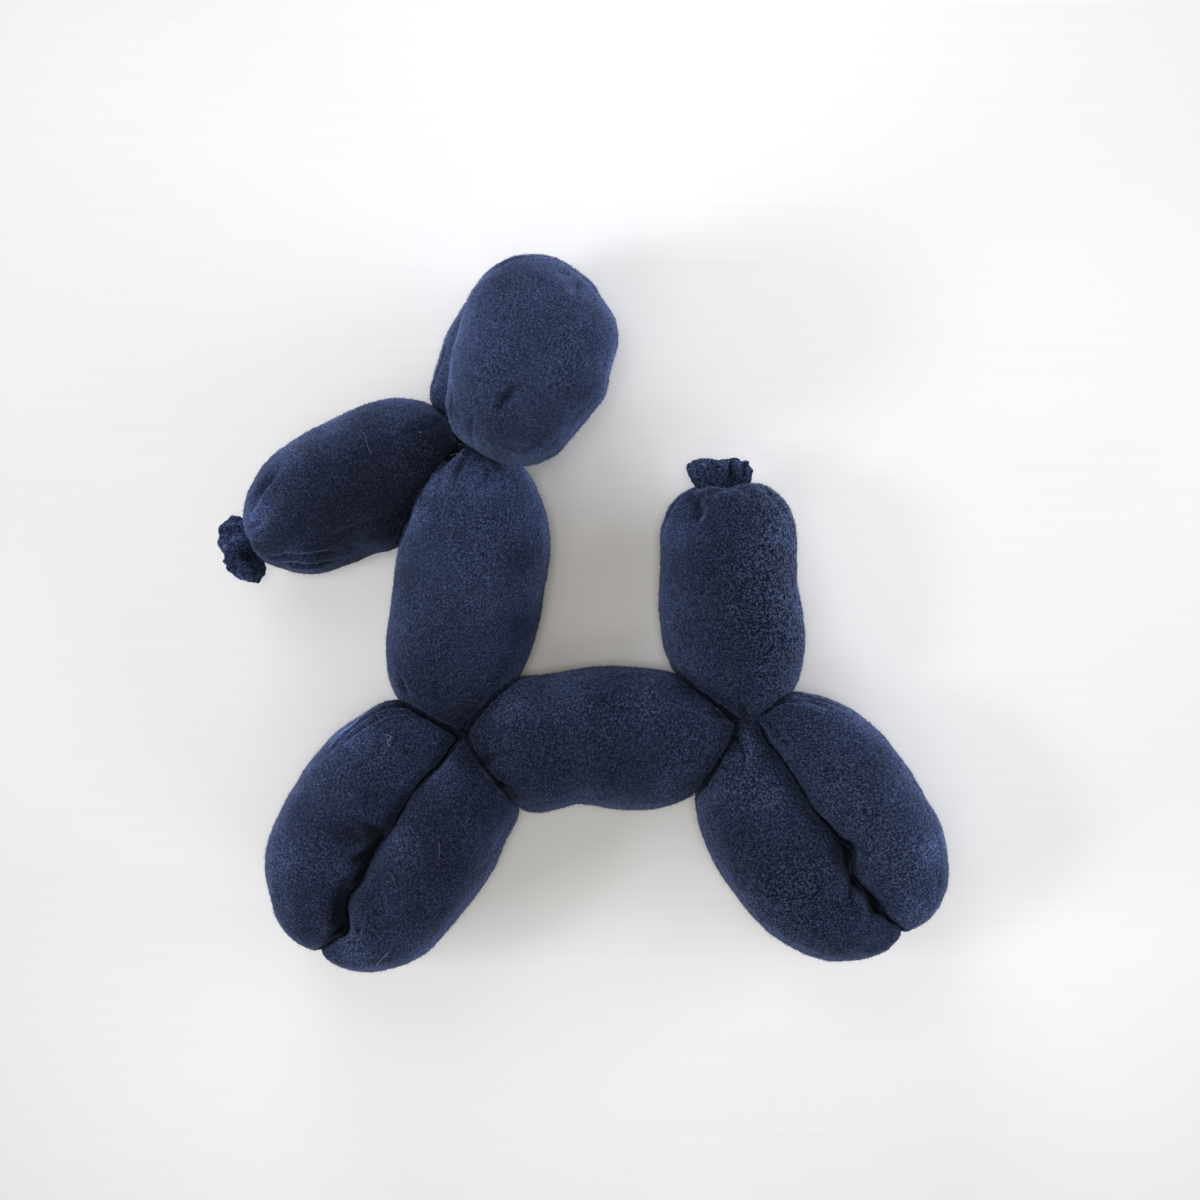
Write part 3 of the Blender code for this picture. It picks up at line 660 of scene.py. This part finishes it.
def evened(values, quads, rounds):
    # values averaged with their neighbours, round after round
    pairs = np.concatenate([quads[:, [k, (k + 1) % 4]] for k in range(4)])
    count = np.bincount(pairs.ravel(), minlength=len(values))[:, None]
    for _ in range(rounds):
        total = np.zeros_like(values)
        np.add.at(total, pairs[:, 0], values[pairs[:, 1]])
        np.add.at(total, pairs[:, 1], values[pairs[:, 0]])
        values = 0.5 * values + 0.5 * total / count
    return values


def uncinched(lobe, points):
    # the same cloth before it is tied: wider round the line near both ties
    along, across, up, length = lobeAxes(lobe)
    distance = (points - lobe["start"]) @ along
    middle = lobe["start"] + along * distance[:, None]
    near = bell(distance, gathering["run"]) + bell(length - distance, gathering["run"])
    return middle + (points - middle) * (1 + gathering["extraGirth"] * near)[:, None]


def clothPiece(lobe, points, quads):
    # one lobe of loose cloth that is held where it is tied, pressed or lies on the board
    wavering = gathering["waver"] * latticeNoise(points, gathering["waverCell"], lobe["seed"] + 200)
    piece = newPiece("cloth_" + lobe["name"], points + normalsOf(points, quads) * wavering[:, None], quads)
    piece.shape_key_add(name="tied")
    loose = piece.shape_key_add(name="loose")
    loose.data.foreach_set("co", uncinched(lobe, points).ravel())
    share = lobePlaces(lobe, points)[0]
    firm = np.minimum(share, 1 - share) < gathering["heldShare"]
    firm |= (gapsTo(points, lobe) < gathering["heldGap"]) | (points[:, 2] < gathering["heldHeight"])
    piece.vertex_groups.new(name="held").add(np.nonzero(firm)[0].tolist(), 1.0, "REPLACE")
    cloth = piece.modifiers.new("cloth", "CLOTH")
    for name, value in dict(
            quality=5, mass=gathering["mass"], use_pressure=True, uniform_pressure_force=gathering["pressure"],
            tension_stiffness=gathering["stiffness"], compression_stiffness=gathering["stiffness"],
            shear_stiffness=gathering["stiffness"], bending_stiffness=gathering["bending"],
            rest_shape_key=loose, vertex_group_mass="held").items():
        setattr(cloth.settings, name, value)
    cloth.settings.effector_weights.gravity = 0
    cloth.collision_settings.use_collision = False
    cloth.point_cache.frame_start = 1
    cloth.point_cache.frame_end = gathering["frames"]
    return piece


def puckered(shapes):
    # pressure from the stuffing, and the spare cloth by the ties buckles into puckers
    scene = bpy.context.scene
    pieces = [clothPiece(*shape) for shape in shapes]
    for step in range(1, gathering["frames"] + 1):
        scene.frame_set(step)
    depsgraph = bpy.context.evaluated_depsgraph_get()
    results = []
    for piece, (lobe, points, quads) in zip(pieces, shapes):
        moved = readOut(piece.evaluated_get(depsgraph).data.vertices, "co") - points
        moved = moved - evened(moved, quads, gathering["calm"])    # the measured outline stays
        size = np.linalg.norm(moved, axis=1)[:, None]
        moved *= np.minimum(1.0, gathering["most"] / np.maximum(size, 1e-9))
        print("balloon dog: cloth of", lobe["name"], "moved", round(float(size.max()) * 1000, 2), "mm at most")
        results.append(points + moved)
    for piece in pieces:
        bpy.data.meshes.remove(piece.data)      # the object goes with its mesh
    scene.frame_set(1)
    return results


# ---- relief and light of each lobe

def subdivided(points, quads):
    piece = newPiece("finer", points, quads)
    piece.modifiers.new("finer", "SUBSURF").levels = 1
    mesh = piece.evaluated_get(bpy.context.evaluated_depsgraph_get()).data
    fine, corners = readOut(mesh.vertices, "co"), readOut(mesh.loops, "vertex_index", 1)
    bpy.data.meshes.remove(piece.data)
    return fine, corners.reshape(-1, 4)


def finished(lobe, points, quads):
    points, quads = subdivided(points, quads)
    normals, place, seed = normalsOf(points, quads), lobePlaces(lobe, points), lobe["seed"]
    folds = sum(foldDepth(place, fold) for fold in lobe["folds"] + gatherFolds(lobe))
    drop = sum((dentDepth(points, dent) for dent in lobe["dents"]), np.zeros(len(points)))
    gaps = gapsTo(points, lobe)
    uneven = latticeNoise(points, grooves["clump"], seed + 300)
    contact = bell(gaps, grooves["width"] * (1 + grooves["unevenWidth"] * uneven))
    toKnots = (np.linalg.norm(points[:, :2] - knot[:2], axis=1) for knot in (shoulder, hip, head))
    pit = sum(bell(away, grooves["tieReach"]) for away in toKnots) * bell(gaps, grooves["tieWidth"])
    above = np.clip((normals[:, 2] - grooves["facingFrom"]) / grooves["facingRise"], 0, 1)
    x, y, radius = 0.001 * np.array(lobe["clear"])
    shown = 1 - np.exp(-(np.hypot(points[:, 0] - x, points[:, 1] - y) / radius) ** 4)
    sink = folds + above * shown * (
        grooves["depth"] * (1 + grooves["unevenDepth"] * uneven) * contact + grooves["tieDepth"] * pit)
    for cell, height, more in lumps:
        sink -= height * latticeNoise(points, cell, seed + more)
    points = points - normals * sink[:, None]
    points[:, 2] -= drop
    normals = normalsOf(points, quads)

    coarse = lobe["coarse"] + brushed["uneven"] * latticeNoise(points, brushed["clump"], seed + 240)
    for spot in spotted(place, lobe["coarseSpots"]):
        coarse += spot
    stretch = np.array(lobe["nap"])
    nap = (1 + np.clip(coarse, 0, brushed["most"])) * napClumps["height"] * latticeNoise(
        points, napClumps["cell"] * stretch, seed + 80)
    nap += napClumps["fineHeight"] * latticeNoise(points, napClumps["fineCell"] * stretch, seed + 120)
    points = points + normals * nap[:, None]
    points[:, 2] = np.maximum(points[:, 2], 0.0)

    # painted sheen: the steeper the cloth, the lighter its colour, most of all where it faces along y
    steep = 1 - np.abs(normals[:, 2])
    flank = sum(much * steep ** power for much, power in (light["wide"], light["narrow"]))
    flank = np.clip(flank * (1 + light["across"] * np.abs(normals[:, 1])), 0, light["flank"])
    # painted shade along contacts, in the pits by the ties, in folds and in dents
    thinShade, wideShade = lobe["paintedCreaseShade"]
    dark = thinShade * bell(gaps, grooves["thin"]) + wideShade * bell(gaps, grooves["wide"])
    dark = (shown * (dark + grooves["tieShade"] * pit) + light["fold"] * np.clip(folds / light["foldDeep"], 0, 1)
            + light["dent"] * np.clip(drop / light["dentDeep"], 0, 1))
    # the cloth's colour scale: its tone with the painted sheen and the painted shade
    shade = lobe["toneAndShade"] * (1 + flank) * (1 - np.clip(dark, light["brightest"], light["darkest"]))
    shade = shade * (1 + light["uneven"] * latticeNoise(points, light["clump"], seed + 160))
    # painted light and shade along the lobe, placed by share and turn
    for spot in spotted(place, lobe["lightAndShadeSpots"]):
        shade *= 1 + spot
    return points, quads, withPaintedLight(points, shade, lobe["lightAndShade"]), np.clip(coarse, brushed["least"], brushed["most"])


def markCloth(piece, lobe, points, shade, coarse):
    # attributes for the fleece: the place on its own length of cloth, its tone with the painted light and shade, how
    # coarse its nap is
    along, across, up, length = lobeAxes(lobe)
    out = points - lobe["start"]
    cloth = np.stack([out @ along + lobe["seed"] * 0.731, out @ across, out @ up], 1)
    piece.data.attributes.new("cloth", "FLOAT_VECTOR", "POINT").data.foreach_set("vector", cloth.ravel())
    for name, values in (("shade", shade), ("coarse", coarse)):
        piece.data.attributes.new(name, "FLOAT", "POINT").data.foreach_set("value", values)


# ---- fleece

fleece = dict(
    deep=(0.0018, 0.0027, 0.0074),      # between the curls of the nap
    mid=(0.0102, 0.0150, 0.0375),
    tips=(0.0450, 0.0630, 0.1270),      # on the raised tips
    stops=(0.40, 0.54, 0.70),
    sheen=0.12, sheenTint=(0.44, 0.60, 1.0), sheenRoughness=0.30, roughness=0.95, shine=0.10,
    curl=1350, strand=2600, patch=55,   # sizes of the pattern, per metre
    around=0.85,                        # the nap lies round the tube, so it is a little longer that way
    calm=1.02, coarser=1.3,             # contrast of the nap, and how much more where it is brushed up
    curlShare=0.38, patchShare=0.08,
    bump=0.8, bumpDepth=0.0007,
)


def fleeceMaterial(name):
    material = newMaterial(name, {
        "Roughness": fleece["roughness"], "Specular IOR Level": fleece["shine"], "Sheen Weight": fleece["sheen"],
        "Sheen Roughness": fleece["sheenRoughness"], "Sheen Tint": (*fleece["sheenTint"], 1)})

    def attribute(which, output="Fac"):
        return addNode(material, "Attribute", output=output, attribute_name=which)

    def noise(scale, detail, roughness, distortion):
        return addNode(material, "TexNoise", {
            "Vector": nap, "Scale": scale, "Detail": detail, "Roughness": roughness, "Distortion": distortion})

    nap = addNode(material, "Mapping", {
        "Scale": (1.0, fleece["around"], fleece["around"]), "Vector": attribute("cloth", "Vector")})
    curls = noise(fleece["curl"], 1, 0.5, 0.5)
    strands = noise(fleece["strand"], 2, 0.7, 0.3)
    patches = noise(fleece["patch"], 2, 0.5, 0.0)
    calm, curlShare = fleece["calm"], fleece["curlShare"]
    curled = maths(material, "MULTIPLY_ADD", attribute("coarse"), fleece["coarser"], calm * curlShare)
    relief = maths(material, "MULTIPLY_ADD", maths(material, "SUBTRACT", strands, 0.5), calm * (1 - curlShare), 0.5)
    relief = maths(material, "MULTIPLY_ADD", maths(material, "SUBTRACT", curls, 0.5), curled, relief)
    shade = maths(material, "MULTIPLY_ADD", patches, fleece["patchShare"], relief)
    colour = ramped(material, shade, [*zip(fleece["stops"], (fleece["deep"], fleece["mid"], fleece["tips"]))])
    # the nap's colours are scaled by the shade attribute, which holds painted light and painted shade
    surface(material, {
        "Base Color": scaledColour(material, colour, attribute("shade")),
        "Normal": addNode(material, "Bump", {
            "Strength": fleece["bump"], "Distance": fleece["bumpDepth"], "Height": relief})})
    return material


navyFleece = fleeceMaterial("navy_fleece_nap")
shapes = [(lobe, lobePoints(lobe, balls[lobe["cells"]][0]), balls[lobe["cells"]][1]) for lobe in lobes]
shapes = [(lobe, points, quads) for (lobe, _, quads), points in zip(shapes, puckered(shapes))]
skins = []
for lobe, points, quads in shapes:
    points, quads, shade, coarse = finished(lobe, points, quads)
    piece = newPiece(lobe["name"] + "_fleece", points, quads, navyFleece)
    markCloth(piece, lobe, points, shade, coarse)
    dress(piece)
    skins.append((lobe, points, quads, shade))
print("balloon dog: lobes shaped")


# ---- single fibres that stand up from the nap

fibres = dict(
    length=(0.0006, 0.0013), radius=(0.00006, 0.00012), lean=(25, 80), root=0.00025,
    lowest=0.0012, tipLowest=0.0002,        # none grow on cloth that lies on the board
    bare=0.1, fewest=0.01, most=1.3,        # how the cloth's painted light and shade sets how many grow
    roughness=0.85, shine=0.15,
    pale=dict(count=24000, seed=56, colour=(0.062, 0.084, 0.150)),
    dark=dict(count=19000, seed=66, colour=(0.0050, 0.0070, 0.0160)),
    fore=("neck", "muzzle", "upper_ear", "lower_ear", "front_leg_left"),
    hind=("front_leg_right", "body", "tail", "hind_leg_left", "hind_leg_right"),
)


def growFibres(name, members, count, material, seed):
    # closed three-sided spikes rooted in the cloth, fewer of them where more shade is painted on the cloth
    rng = np.random.default_rng(seed)
    grounds = []
    for lobe, points, quads, shade in skins:
        if lobe["name"] in members:
            a, b, c, d = points[quads].swapaxes(0, 1)
            face = np.cross(c - a, d - b)
            weight = np.linalg.norm(face, axis=1) * (np.minimum(a[:, 2], c[:, 2]) > fibres["lowest"])
            weight = weight * np.clip(shade[quads[:, 0]] - fibres["bare"], fibres["fewest"], fibres["most"])
            grounds.append((points[quads], unit(face), weight))
    whole = sum(weight.sum() for _, _, weight in grounds)
    roots, normals = [], []
    for corners, face, weight in grounds:
        picked = rng.choice(len(weight), int(count * weight.sum() / whole), p=weight / weight.sum())
        u, v = rng.random((2, len(picked), 1))
        a, b, c, d = corners[picked].swapaxes(0, 1)
        roots.append((a * (1 - u) + b * u) * (1 - v) + (d * (1 - u) + c * u) * v)
        normals.append(face[picked])
    roots, normals = np.concatenate(roots), np.concatenate(normals)
    total = len(roots)
    side = rng.normal(size=(total, 3))
    side = unit(side - normals * (side * normals).sum(1)[:, None])
    lean = np.radians(rng.uniform(*fibres["lean"], total))[:, None]
    way = normals * np.cos(lean) + side * np.sin(lean)
    length = rng.uniform(*fibres["length"], (total, 1))
    radius = rng.uniform(*fibres["radius"], (total, 1))
    first = unit(np.cross(way, normals + 0.01))
    second = np.cross(way, first)
    base = roots - way * fibres["root"]
    thirds = (0, 2 * math.pi / 3, 4 * math.pi / 3)
    corners = [base + radius * (math.cos(t) * first + math.sin(t) * second) for t in thirds]
    tips = roots + way * length
    tips[:, 2] = np.maximum(tips[:, 2], fibres["tipLowest"])
    points = np.stack([*corners, tips], 1).reshape(-1, 3)
    faces = np.arange(total)[:, None, None] * 4 + np.array([(0, 2, 1), (0, 1, 3), (1, 2, 3), (2, 0, 3)])
    dress(newPiece(name, points, faces.reshape(-1, 3), material))


for kind in ("pale", "dark"):
    fibre = fibres[kind]
    material = newMaterial(kind + "_navy_fibre", {
        "Base Color": (*fibre["colour"], 1), "Roughness": fibres["roughness"], "Specular IOR Level": fibres["shine"]})
    for half in ("fore", "hind"):
        growFibres(kind + "_nap_fibres_" + half, fibres[half], fibre["count"], material, fibre["seed"])
print("balloon dog: nap fibres grown", 2 * (fibres["pale"]["count"] + fibres["dark"]["count"]))


# ---- the gathered cuffs at nose and tail

# rim: (millimetres to the left, millimetres out from the tie) as the open end is seen from above
# pleats: (turn, spread in degrees, depth as a share) of the folds that run out to the rim
# lightAndShade: (x, y, radius in millimetres, how much lighter), painted light on the rims and painted shade in the
# hollows
noseCuff = dict(
    name="nose_cuff_fleece", knot=nose, flat=(0.058, 0.0115), angle=203.0, seed=31, neck=0.64, heights=(2.6, 7.4),
    lean=0.8, toneAndShade=2.0,
    rim=[(-13.2, 1.8), (-12.5, 4.8), (-10.2, 8.1), (-7.9, 9.4), (-4.9, 9.9), (-1.9, 10.3), (1.2, 10.8),
         (3.0, 12.2), (4.6, 11.0), (6.5, 11.4), (8.2, 10.2), (10.7, 8.4), (12.6, 6.2), (14.7, 2.8)],
    pleats=[(126, 13, 0.30), (78, 20, 0.42), (48, 9, 0.16), (158, 9, 0.22), (12, 8, 0.18), (205, 13, 0.3),
            (242, 14, 0.42), (284, 13, 0.4), (325, 12, 0.3)],
    lightAndShade=[(-129.4, 33.2, 3.0, 0.35), (-130.5, 24.3, 1.3, 1.0), (-128.2, 26.2, 1.3, 1.0), (-125.7, 28.0, 1.2, 0.9),
           (-120.1, 21.0, 3.6, -0.85), (-118.3, 16.6, 3.2, -0.75), (-122.0, 25.1, 2.4, -0.65),
           (-123.5, 20.6, 2.8, -0.5), (-131.2, 21.7, 1.2, 0.7), (-123.1, 11.4, 1.3, 1.0), (-126.0, 12.5, 1.3, 0.8),
           (-128.6, 16.2, 1.2, -0.4), (-130.5, 17.7, 1.2, 0.5)],
    dents=[([(-123.5, 23.2), (-119.8, 15.1)], (2.2, 2.8), (2.2, 3.2)),
           ([(-130.8, 24.0), (-125.3, 28.0)], (1.0, 1.0), (-0.8, -0.8))],
)
tailCuff = dict(
    name="tail_cuff_fleece", knot=tailTip, flat=(0.060, 0.0112), angle=94.8, seed=32, neck=0.66,
    heights=(4.6, 7.2), lean=0.0, toneAndShade=1.35,
    rim=[(-12.6, 4.4), (-12.0, 6.3), (-9.4, 7.4), (-6.2, 8.3), (-3.8, 8.5), (-2.1, 8.2), (1.6, 8.1), (3.4, 8.7),
         (5.3, 9.1), (8.7, 9.6), (11.2, 9.2), (12.8, 7.8)],
    pleats=[(105, 9, 0.30), (132, 9, 0.20), (42, 7, 0.24), (77, 10, 0.10), (160, 10, 0.2), (15, 9, 0.2),
            (203, 13, 0.3), (238, 12, 0.4), (275, 14, 0.42), (318, 12, 0.35)],
    lightAndShade=[(41.2, 53.4, 2.0, 0.8), (41.9, 50.1, 1.6, 0.5), (47.8, 48.6, 1.5, -0.5), (53.4, 48.6, 1.5, -0.5),
           (58.2, 49.0, 1.5, -0.55), (55.6, 51.6, 1.5, -0.6), (60.4, 51.2, 1.3, -0.5), (46.0, 55.3, 1.5, 0.5),
           (52.3, 55.3, 1.5, 0.4), (58.2, 56.0, 1.5, 0.6), (62.6, 54.9, 1.5, 0.5)],
    dents=[([(55.6, 54.2), (55.6, 49.0)], (1.4, 1.4), (0.7, 1.2)),
           ([(60.4, 53.4), (60.0, 49.4)], (1.2, 1.2), (0.5, 0.9))],
)
cuffCloth = dict(
    thickness=0.0021, back=0.0024, around=320, wobble=0.0005, nap=0.00030, coarse=0.12,
    rise=38, lipSteps=8, sink=20,       # rings up the outside, round the cut edge and down the inside
    lip=0.93, bottom=0.28,              # where the edge turns over, and how far down the inside goes
    # pleatShade is painted shade in the pleats, edgeLight a paler cut edge with painted light round the rim,
    # insideShade painted shade inside the open end
    pleatSink=0.0011, pleatShade=0.9, edgeLight=0.45, insideShade=0.55,
)


def closedTube(rings):
    # points and faces of a tube through rings of points, with both ends closed
    count = len(rings[0])
    last = (len(rings) - 1) * count
    points = np.concatenate([*rings, [rings[0].mean(0)], [rings[-1].mean(0)]])
    around = [(k, (k + 1) % count) for k in range(count)]
    faces = [(r + k, r + n, r + count + n, r + count + k) for r in range(0, last, count) for k, n in around]
    for k, n in around:
        faces += [(last + count, n, k), (last + count + 1, last + k, last + n)]
    return points, faces


def shapeCuff(cuff):
    turn = np.radians(cuff["angle"])
    along = np.array((math.cos(turn), math.sin(turn), 0.0))
    across = np.array((-along[1], along[0], 0.0))
    phase = np.linspace(0, 2 * np.pi, cuffCloth["around"], endpoint=False)
    pleat = sum(depth * bell(wrapped(np.degrees(phase) - angle), spread) for angle, spread, depth in cuff["pleats"])
    widest = np.where(np.cos(phase) > 0, cuff["rim"][-1][0], -cuff["rim"][0][0]) * 0.001
    sideways = np.sign(np.cos(phase)) * np.abs(np.cos(phase)) ** 0.85 * widest
    reach = 0.001 * smoothLine(cuff["rim"], sideways * 1000)
    low, high = (0.001 * value for value in cuff["heights"])
    thin, lip = cuffCloth["thickness"], cuffCloth["lip"]

    def ring(share, inset, beyond):
        opened = np.clip(share, 0, 1)
        fold = 1 - pleat * (0.35 + 0.65 * opened)
        wide = sideways * (cuff["neck"] + (1 - cuff["neck"]) * opened ** 0.6) * (1 - 0.35 * pleat * opened)
        tall = np.sign(np.sin(phase)) * np.abs(np.sin(phase)) ** 0.75 * (low + (high - low) * opened ** 1.3) * fold
        size = np.maximum(np.hypot(wide, tall), 1e-6)
        wide, tall = (value * np.maximum(1 - inset / size, 0.18) for value in (wide, tall))
        far = -cuffCloth["back"] + (reach + cuffCloth["back"]) * share + beyond
        far = far - cuffCloth["pleatSink"] * pleat * opened
        up = tall + cuff["lean"] * 0.001 * opened
        return cuff["knot"] + along * far[:, None] + across * wide[:, None] + np.array((0, 0, 1.0)) * up[:, None]

    # rings of points from the tie up the outside, round the cut edge and down the inside
    rise, lipSteps, count = cuffCloth["rise"], cuffCloth["lipSteps"], cuffCloth["around"]
    rings = [ring(share, 0.0, 0.0) for share in np.linspace(0, lip, rise)]
    for turned in np.linspace(0, np.pi, lipSteps + 1)[1:-1]:
        rings.append(ring(lip, thin / 2 * (1 - math.cos(turned)), thin * 0.45 * math.sin(turned)))
    for share in np.linspace(lip, cuffCloth["bottom"], cuffCloth["sink"]):
        rings.append(ring(share, thin * (1 + 0.5 * (lip - share)), 0.0))
    points, faces = closedTube(rings)
    shade = np.full(len(points), cuff["toneAndShade"])
    # painted light round the rim with a paler cut edge, painted shade in the pleats and inside the open end
    for r in range(len(rings)):
        edge = cuffCloth["edgeLight"] * bell(r - rise - 3, 9 if r < rise else 4)
        shade[r * count:(r + 1) * count] *= (1 + edge) * (1 - cuffCloth["pleatShade"] * np.clip(pleat, 0, 0.6))
    shade[(rise + lipSteps) * count:] *= 1 - cuffCloth["insideShade"]
    shade = withPaintedLight(points, shade, cuff["lightAndShade"])
    for dent in cuff["dents"]:
        points[:, 2] -= dentDepth(points, dent)
    return points, faces, shade


def roughened(piece, seed):
    # a little wobble and nap along the normals of a finished shape
    points, normals = readOut(piece.data.vertices, "co"), readOut(piece.data.vertex_normals, "vector")
    high = cuffCloth["wobble"] * latticeNoise(points, 0.004, seed)
    high += cuffCloth["nap"] * latticeNoise(points, 0.0012, seed + 5)
    points = points + normals * high[:, None]
    piece.data.vertices.foreach_set("co", points.ravel())
    return points


for cuff, lobe in ((noseCuff, muzzle), (tailCuff, tail)):
    points, faces, shade = shapeCuff(cuff)
    piece = newPiece(cuff["name"], points, faces, navyFleece)
    points = roughened(piece, cuff["seed"])
    markCloth(piece, lobe, points, shade, np.full(len(points), cuffCloth["coarse"]))
    dress(piece)
print("balloon dog: cuffs shaped")


# ---- lint and loose threads

# each hair is a line seen from above, in millimetres, and lies on the cloth under it
lint = dict(
    radius=0.00005, lift=0.0006, steps=6,
    faint=[
        [(-78.8, 65.8), (-77.2, 64.2), (-76.4, 62.0), (-75.7, 59.3), (-74.4, 56.7)],
        [(-50.6, -81.4), (-50.2, -84.8), (-50.5, -88.2)], [(-68.6, -92.8), (-67.4, -94.4), (-66.6, -96.6)],
    ],
    pale=[
        [(-69.9, -43.6), (-68.3, -44.9), (-69.5, -46.6), (-68.4, -48.2)],
        [(-73.5, -127.0), (-71.3, -124.8), (-68.7, -122.1)],
        [(-47.0, 56.9), (-44.3, 57.6), (-41.4, 56.2)],
        [(-41.5, 88.4), (-41.2, 87.3)], [(-57.6, 65.4), (-57.0, 64.7)], [(-40.1, -3.6), (-39.8, -4.4)],
        [(-82.8, -64.6), (-82.2, -65.4)],
    ],
    tan=[
        [(-41.6, 63.0), (-41.0, 62.1), (-41.9, 61.8)], [(-33.8, 57.8), (-33.0, 57.2), (-33.9, 56.9)],
        [(-6.5, -34.5), (-5.6, -35.4), (-6.8, -36.0), (-5.9, -36.6)],
    ],
    faintColour=(0.10, 0.115, 0.15), paleColour=(0.30, 0.31, 0.35), tanColour=(0.15, 0.11, 0.085),
)


def threadAlong(line, radius, sides=5):
    # a thin closed tube with pointed ends along a line of points
    ways = unit(np.gradient(line, axis=0))
    first = unit(np.cross(ways, (0.13, 0.21, 1.0)))
    second = np.cross(ways, first)
    turns = np.linspace(0, 2 * np.pi, sides, endpoint=False)[None, :, None]
    toEnd = np.minimum(np.arange(len(line)), np.arange(len(line))[::-1])
    thick = radius * np.clip(toEnd / 2 + 0.3, 0, 1)[:, None, None]
    return closedTube(line[:, None] + thick * (np.cos(turns) * first[:, None] + np.sin(turns) * second[:, None]))


def clothHeight(x, y):
    hits = [tree.ray_cast(Vector((x, y, 0.2)), Vector((0, 0, -1)))[0] for tree in skinTrees]
    return max([hit.z for hit in hits if hit is not None], default=0.02)


skinTrees = [BVHTree.FromPolygons(points.tolist(), quads.tolist()) for lobe, points, quads, shade in skins]
for name in ("faint", "pale", "tan"):
    points, faces = [], []
    for hair in lint[name]:
        at = np.linspace(0, len(hair) - 1, (len(hair) - 1) * lint["steps"] + 1)
        x, y = (0.001 * smoothLine([*enumerate(values)], at) for values in zip(*hair))
        heights = np.array([clothHeight(*spot) for spot in zip(x, y)])
        heights = np.maximum.reduce([np.roll(heights, k) for k in (-2, -1, 0, 1, 2)])
        threadPoints, threadFaces = threadAlong(np.stack([x, y, heights + lint["lift"]], 1), lint["radius"])
        faces += [tuple(corner + len(points) for corner in face) for face in threadFaces]
        points.extend(threadPoints)
    material = newMaterial(name + "_lint", {"Base Color": (*lint[name + "Colour"], 1), "Roughness": 0.8})
    dress(newPiece(name + "_lint", np.array(points), faces, material))
print("balloon dog: lint laid", sum(len(lint[name]) for name in ("faint", "pale", "tan")))


# ---- board, light and camera

board = dict(
    size=3.0, colour=(0.80, 0.80, 0.805), roughness=0.75, shine=0.2, bump=0.15, bumpDepth=0.0004,
    grain=(3.0, 260.0, 1.0), grainScale=3.0, grainDark=0.975,
    lightToRight=0.18, lightToTop=0.25, falloffOutward=2.0,      # painted light: lighter to the right and the top and darker outward, per metre and per square metre
)


def makeBoard():
    material = newMaterial("painted_board", {"Roughness": board["roughness"], "Specular IOR Level": board["shine"]})

    def dotted(weights):
        return addNode(material, "VectorMath", {0: place, 1: weights}, output="Value", operation="DOT_PRODUCT")

    place = addNode(material, "TexCoord", output="Object")
    stretched = addNode(material, "Mapping", {"Scale": board["grain"], "Vector": place})
    grain = addNode(material, "TexNoise", {"Vector": stretched, "Scale": board["grainScale"], "Detail": 5})
    dim = tuple(c * board["grainDark"] for c in board["colour"])
    paint = ramped(material, grain, [(0.3, dim), (0.7, board["colour"])])
    # painted light: the board is lighter to the right and top and darker away from the middle
    paintedLightLevel = maths(material, "ADD", dotted((board["lightToRight"], board["lightToTop"], 0.0)), maths(
        material, "MULTIPLY_ADD", dotted(place), -board["falloffOutward"], 1.0), use_clamp=True)
    surface(material, {
        "Base Color": scaledColour(material, paint, paintedLightLevel),
        "Normal": addNode(material, "Bump", {
            "Strength": board["bump"], "Distance": board["bumpDepth"], "Height": grain})})
    half = board["size"] / 2
    corners = np.array([(-half, -half, 0), (half, -half, 0), (half, half, 0), (-half, half, 0)])
    return newPiece("board", corners, [(0, 1, 2, 3)], material)


makeBoard()

# each lamp is a soft window: its azimuth and height in degrees, distance and size in metres, power and tint
lamps = [
    ("ceiling", 0, 90, 1.9, (0.4, 0.4), 9.4, (1.05, 1.0, 0.915)),
    ("leftWindow", 187, 39, 1.6, (0.35, 0.30), 5.0, (0.97, 1.0, 1.05)),
    ("farLeft", 120, 50, 1.6, (0.6, 0.6), 2.3, (0.97, 1.0, 1.06)),
    ("lowLeft", 200, 14, 1.6, (0.8, 0.4), 18.0, (0.965, 1.0, 1.07)),
    ("lowBack", 105, 14, 1.6, (0.8, 0.4), 14.5, (0.96, 1.0, 1.08)),
    ("rightWindow", 4, 14, 1.6, (1.3, 0.5), 22.0, (0.92, 0.98, 1.12)),
    ("lowRight", 310, 15, 1.6, (0.8, 0.5), 9.5, (0.96, 1.0, 1.08)),
    ("ceilingFront", 240, 66, 1.8, (0.5, 0.5), 2.1, (1.04, 1.0, 0.93)),
]
room = dict(colour=(1.05, 1.0, 0.87), strength=0.277)


def makeLamp(name, azimuth, height, distance, size, power, tint):
    data = bpy.data.lights.new(name, "AREA")
    data.shape = "RECTANGLE"
    data.size, data.size_y = size
    data.energy = power
    data.color = tint
    a, h = math.radians(azimuth), math.radians(height)
    lamp = placed(name, data)
    lamp.location = distance * Vector((math.cos(h) * math.cos(a), math.cos(h) * math.sin(a), math.sin(h)))
    lamp.rotation_euler = (-lamp.location).to_track_quat("-Z", "Y").to_euler()


for row in lamps:
    makeLamp(*row)
scene = bpy.context.scene
scene.world = bpy.data.worlds.new("room")
scene.world.use_nodes = True
background = scene.world.node_tree.nodes["Background"]
background.inputs["Color"].default_value = (*room["colour"], 1)
background.inputs["Strength"].default_value = room["strength"]
scene.view_settings.view_transform = "Standard"

view = dict(place=(0.00732, 0.00480, 0.95), metresAcross=0.444, metresAway=0.922)
cameraData = bpy.data.cameras.new("overhead")
cameraData.sensor_fit = "HORIZONTAL"
cameraData.angle = 2 * math.atan(view["metresAcross"] / 2 / view["metresAway"])
scene.camera = placed("overhead", cameraData)
scene.camera.location = view["place"]
print("balloon dog: board, light and camera set")
